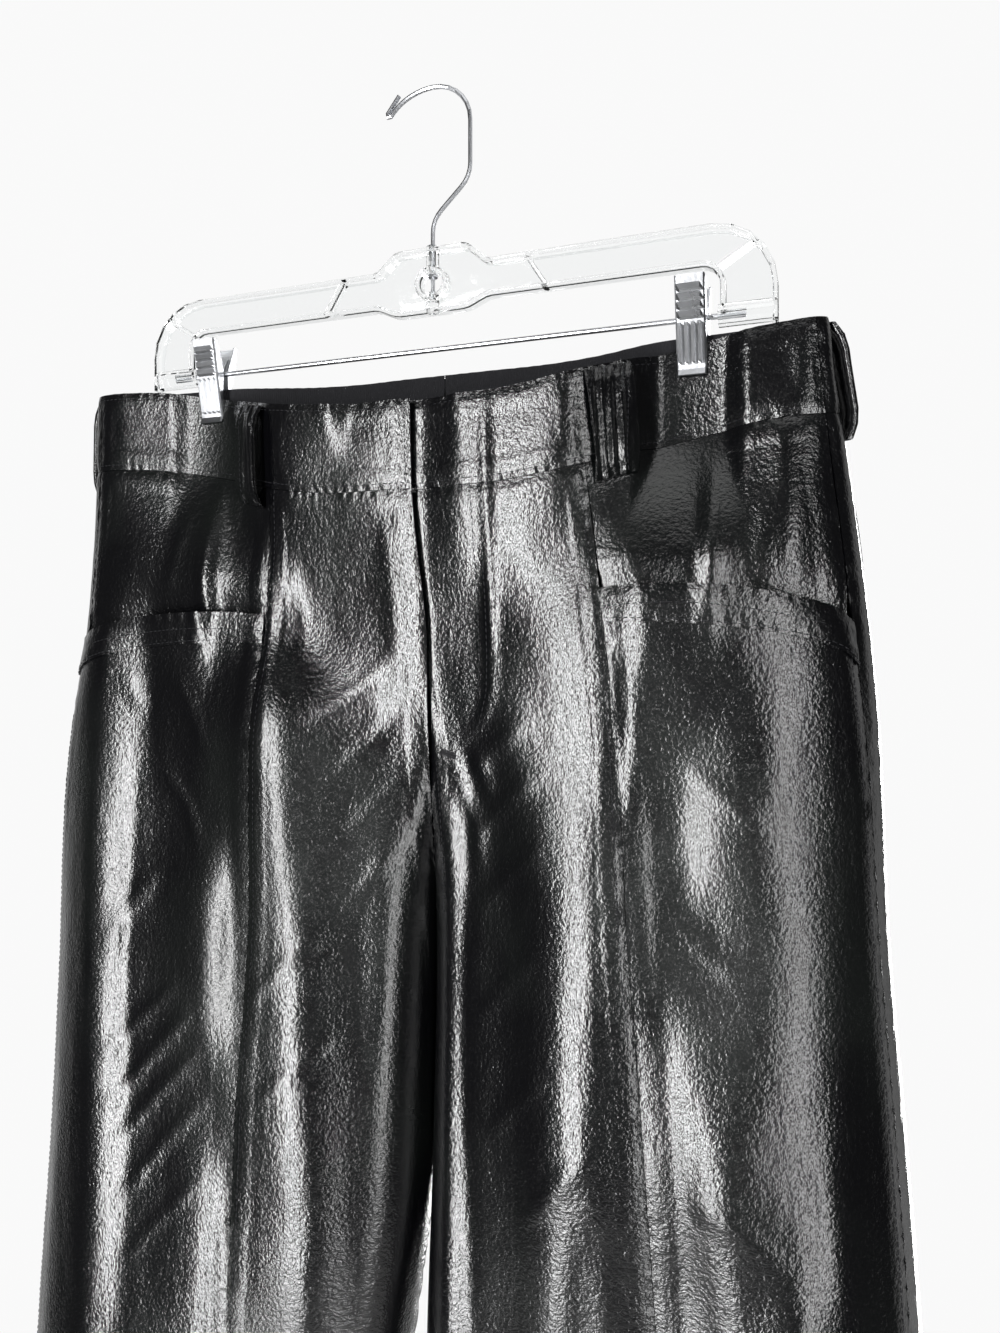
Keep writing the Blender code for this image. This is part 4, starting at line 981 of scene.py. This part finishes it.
# %% A socket that can be calculated with
class Flow:
    """A number or colour that flows out of a socket."""

    def __init__(self, socket):
        self.socket = socket
        self.tree = socket.id_data

    def node(self, kind, settings=None, inputs=None, output=0):
        return node(self.tree, kind, settings, inputs, output)

    def maths(self, operation, first, second):
        return self.node("ShaderNodeMath", {"operation": operation}, {0: first, 1: second})

    def __add__(self, other):
        return self.maths("ADD", self, other)

    def __mul__(self, other):
        return self.maths("MULTIPLY", self, other)

    __radd__ = __add__
    __rmul__ = __mul__


def node(tree, kind, settings=None, inputs=None, output=0):
    """Adds a node, with its settings first and then its values or links."""
    added = tree.nodes.new(kind)
    for key, value in (settings or {}).items():
        if key == "stops":
            ramp = added.color_ramp
            for place, (at, shade) in enumerate(value):
                stop = ramp.elements[place] if place < 2 else ramp.elements.new(at)
                stop.position, stop.color = at, (shade, shade, shade, 1)
        else:
            setattr(added, key, value)
    for key, value in (inputs or {}).items():
        if isinstance(value, Flow):
            tree.links.new(value.socket, added.inputs[key])
        else:
            added.inputs[key].default_value = value
    return Flow(added.outputs[output])


print("operators:", [name for name in vars(Flow) if name.endswith(("add__", "mul__"))])

# %% [markdown]
# ## Helpers for the finishes
# Every finish here is built from the same few parts: noise, a bump, a blend of two colours, and the
# links that feed them to the shader.

# %% Helpers for the finishes
def new_finish(name, **constants):
    """A material, its shader with these constants, and its Object coordinates."""
    material = bpy.data.materials.new(name)
    material.use_nodes = True
    shader = material.node_tree.nodes["Principled BSDF"]
    for key, value in constants.items():
        shader.inputs[key.replace("_", " ")].default_value = value
    print("finish:", name)
    return material, shader, node(material.node_tree, "ShaderNodeTexCoord", output=3)


def noise_of(place, scale, detail, **more):
    """A noise texture at a place, with its number of cells per metre."""
    inputs = {"Vector": place, "Scale": scale, "Detail": detail, **more}
    return place.node("ShaderNodeTexNoise", None, inputs)


def bump(height, strength, distance, **more):
    """A normal that follows a height."""
    inputs = {"Strength": strength, "Distance": distance, "Height": height, **more}
    return height.node("ShaderNodeBump", None, inputs)


def feed(shader, **flows):
    """Links flows to the shader's sockets."""
    for key, flow in flows.items():
        flow.tree.links.new(flow.socket, shader.inputs[key.replace("_", " ")])


def blend_colours(share, first, second):
    """One colour where share is 0 and another where it is 1."""
    return share.node("ShaderNodeMix", {"data_type": "RGBA"}, {0: share, 6: first, 7: second}, output=2)


# %% [markdown]
# ## Faux leather
# The face is a thin black film on knitted cloth. It is glossy, with a crinkled grain a millimetre
# or two across, so a highlight breaks up into bright grains. Longer wrinkles run through it, and
# broad patches are a shade duller, with a faint grey-green painted sheen in their colour. Bump
# gives the grain and the wrinkles, because they are too fine to model.

# %% Faux leather
GRAIN_DEPTH, WRINKLE_DEPTH = 0.0003, 0.00014

faux_leather, shader, place = new_finish("faux_leather_crinkled", Specular_IOR_Level=0.5, IOR=1.6)
longer = place.node("ShaderNodeMapping", None, {0: place, "Scale": (1.0, 1.0, 0.55)})
slanted = place.node("ShaderNodeMapping", None,
                     {0: place, "Rotation": (0.0, 0.5, 0.0), "Scale": (1.0, 1.0, 0.75)})
grain = noise_of(place, 560.0, 2.0, Roughness=0.65)
wrinkle = noise_of(slanted, 300.0, 1.5, Roughness=0.5, Distortion=0.5)
patch = noise_of(longer, 14.0, 3.0)
dull_patch_and_painted_sheen = patch.node("ShaderNodeValToRGB", {"stops": ((0.45, 0.0), (0.68, 1.0))}, {0: patch})
waves = bump(wrinkle, 1.0, WRINKLE_DEPTH)
pebbles = bump(grain, 1.0, GRAIN_DEPTH, Normal=waves)
# the patch mask raises the roughness, which is real dullness, and tints the colour grey-green, which is a
# painted sheen
feed(shader, Roughness=0.17 + dull_patch_and_painted_sheen * 0.07 + grain * 0.06, Normal=pebbles,
     Base_Color=blend_colours(dull_patch_and_painted_sheen, (0.0010, 0.0010, 0.0014, 1), (0.0020, 0.0027, 0.0024, 1)))

# %% [markdown]
# ## Thread
# Polyester sewing thread is a little duller than the film it sits on, and its twist catches the
# light in short dashes. Fine noise in roughness imitates them, and the same noise lightens the
# colour in dashes as a painted glint.

# %% Thread
thread_finish, shader, place = new_finish("black_thread", Specular_IOR_Level=0.25)
twist_and_painted_glint = noise_of(place, 2200.0, 1.0)
# the noise raises the roughness, and where it is high it also lightens the colour: a painted glint along
# the thread
feed(shader, Roughness=0.42 + twist_and_painted_glint * 0.25,
     Base_Color=blend_colours(twist_and_painted_glint, (0.002, 0.002, 0.003, 1), (0.010, 0.010, 0.012, 1)))

# %% [markdown]
# ## Knitted backing
# The back of the cloth is a fine black knit. It is matte, so the inside of the waistband and of the
# legs stays dark. Narrow waves give its ribs, and noise gives its fuzz.

# %% Knitted backing
knit_backing, shader, place = new_finish("knit_backing", Specular_IOR_Level=0.15, Roughness=0.85)
ribs = place.node("ShaderNodeTexWave", {"bands_direction": "X"}, {
    "Vector": place, "Scale": 260.0, "Distortion": 1.5, "Detail": 1.0, "Detail Scale": 2.0})
fuzz = noise_of(place, 900.0, 2.0)
feed(shader, Normal=bump(ribs + fuzz, 0.5, 0.0003),
     Base_Color=blend_colours(fuzz, (0.006, 0.006, 0.007, 1), (0.016, 0.016, 0.018, 1)))

# %% [markdown]
# ## Clear plastic
# The hanger is moulded in clear polystyrene. It carries faint flow marks and handling scratches,
# so it isn't perfectly smooth.

# %% Clear plastic
clear_plastic, shader, place = new_finish(
    "clear_plastic_moulded", Base_Color=(0.97, 0.98, 0.98, 1), IOR=1.5, Transmission_Weight=1.0)
flow_marks = noise_of(place, 60.0, 2.0)
scratches = noise_of(place, 700.0, 3.0)
feed(shader, Roughness=0.02 + scratches * 0.05, Normal=bump(flow_marks, 0.35, 0.0006))

# %% [markdown]
# ## Bright plating
# Hook, rod and clips are steel wire and sheet with bright plating. A soft unevenness bends the
# reflections a little, and cloudy patches are a shade duller.

# %% Bright plating
bright_plating, shader, place = new_finish("bright_plating", Metallic=1.0)
drawn = noise_of(place, 420.0, 3.0)
cloud = noise_of(place, 70.0, 2.0)
feed(shader, Roughness=0.22 + cloud * 0.14, Normal=bump(drawn + cloud, 0.25, 0.0003),
     Base_Color=blend_colours(cloud, (0.58, 0.59, 0.61, 1), (0.45, 0.46, 0.48, 1)))

# %% [markdown]
# ## Put the finishes on
# The cloth pieces stand for their packed nodes, and the threads lie on them. The hanger's nodes
# have their final shape, so they stay and only change their material.

# %% Finishes, bodies and sheets
for name, piece in {**sheets, **loops}.items():
    if name in sheets:
        piece.data.materials[0], piece.data.materials[1] = faux_leather, knit_backing
    else:
        piece.data.materials.clear()
        piece.data.materials.append(faux_leather)
    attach(piece, "root")
    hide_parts(name)
    width, length, area = CUTS[name]
for piece in threads.values():
    piece.data.materials.append(thread_finish)
    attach(piece, "root")
for name, cad_node in frame["nodes"].items():
    if name.startswith(("hanger", "clip")):
        finish = clear_plastic if name == "hanger_body" else bright_plating
        for slot in cad_node.material_slots:
            slot.material = finish
print("pieces:", len(sheets) + len(loops) + len(threads))

# %% [markdown]
# ## Soft boxes
# Black film hardly scatters light, so what shows on the flanks of the folds is the reflection of
# soft boxes. Two tall ones stand in front, to the left and to the right, one stands behind for the
# back, and a weak one hangs above.

# %% Soft boxes
def soft_box(name, place, aim, width, height, power):
    """A rectangular light that faces a point."""
    bpy.ops.object.light_add(type="AREA", location=place)
    light = bpy.context.object
    light.name = name
    light.data.shape = "RECTANGLE"
    light.data.size, light.data.size_y = width, height
    light.data.energy = power
    light.rotation_euler = (Vector(aim) - Vector(place)).to_track_quat("-Z", "Y").to_euler()
    print(name, "at", place)


MID_LEG, HIPS = (0.0, 0.0, -0.55), (0.0, 0.0, -0.5)
soft_box("key_light", (-0.95, -2.4, -0.75), MID_LEG, 0.34, 3.2, 130)
soft_box("side_light", (1.3, -2.2, -0.75), MID_LEG, 0.3, 3.0, 46)
soft_box("back_light", (0.95, 2.4, -0.75), MID_LEG, 0.34, 3.2, 110)
soft_box("top_light", (0.3, -0.9, 1.4), HIPS, 1.2, 0.8, 5)

# %% [markdown]
# ## Pale room
# The film also mirrors the room. It is dark in front and straight behind, and pale in between, so
# only steep flanks pick it up. Where the camera looks past the trousers or through the clear
# plastic, it sees an even bright backdrop instead.

# %% Pale room
# how far a direction points along +Y, brightness of the room there
GLOW = ((0.0, 0.04), (0.25, 0.85), (0.55, 0.85), (0.85, 0.08))

world = bpy.data.worlds.new("pale_room")
bpy.context.scene.world = world
bpy.context.scene.view_settings.view_transform = "Standard"
world.use_nodes = True
tree = world.node_tree
tree.nodes.clear()
rays = node(tree, "ShaderNodeLightPath")
through = Flow(rays.socket.node.outputs["Is Transmission Ray"])
seen = rays.maths("MAXIMUM", rays, through)
ahead = node(tree, "ShaderNodeSeparateXYZ", None, {0: node(tree, "ShaderNodeTexCoord")}, output=1)
glow = node(tree, "ShaderNodeValToRGB", {"stops": GLOW}, {0: ahead})
room = node(tree, "ShaderNodeBackground", None, {"Color": glow, "Strength": 1.0})
backdrop = node(tree, "ShaderNodeBackground", None, {"Color": (0.95, 0.95, 0.95, 1), "Strength": 1.0})
mixed = node(tree, "ShaderNodeMixShader", None, {0: seen, 1: room, 2: backdrop})
tree.links.new(mixed.socket, tree.nodes.new("ShaderNodeOutputWorld").inputs[0])
print("world:", world.name)

# %% [markdown]
# ## Floor
# A pale round floor lies below the hems, which catches a soft shadow. It is only a stage for the
# picture and isn't part of the object.

# %% Floor
FLOOR_LEVEL, FLOOR_RADIUS = -1.30, 0.84

bpy.ops.object.select_all(action="DESELECT")
bpy.ops.mesh.primitive_circle_add(vertices=96, radius=FLOOR_RADIUS, fill_type="NGON", location=(0, 0, 0))
floor = bpy.context.object
floor.name = "floor"
floor.data.transform(Matrix.Translation((0, 0, FLOOR_LEVEL)))
floor_finish, shader, place = new_finish("pale_floor", Roughness=0.7)
speck = noise_of(place, 30.0, 3.0)
feed(shader, Base_Color=blend_colours(speck, (0.70, 0.70, 0.69, 1), (0.76, 0.76, 0.75, 1)))
floor.data.materials.append(floor_finish)
print("floor at", FLOOR_LEVEL)
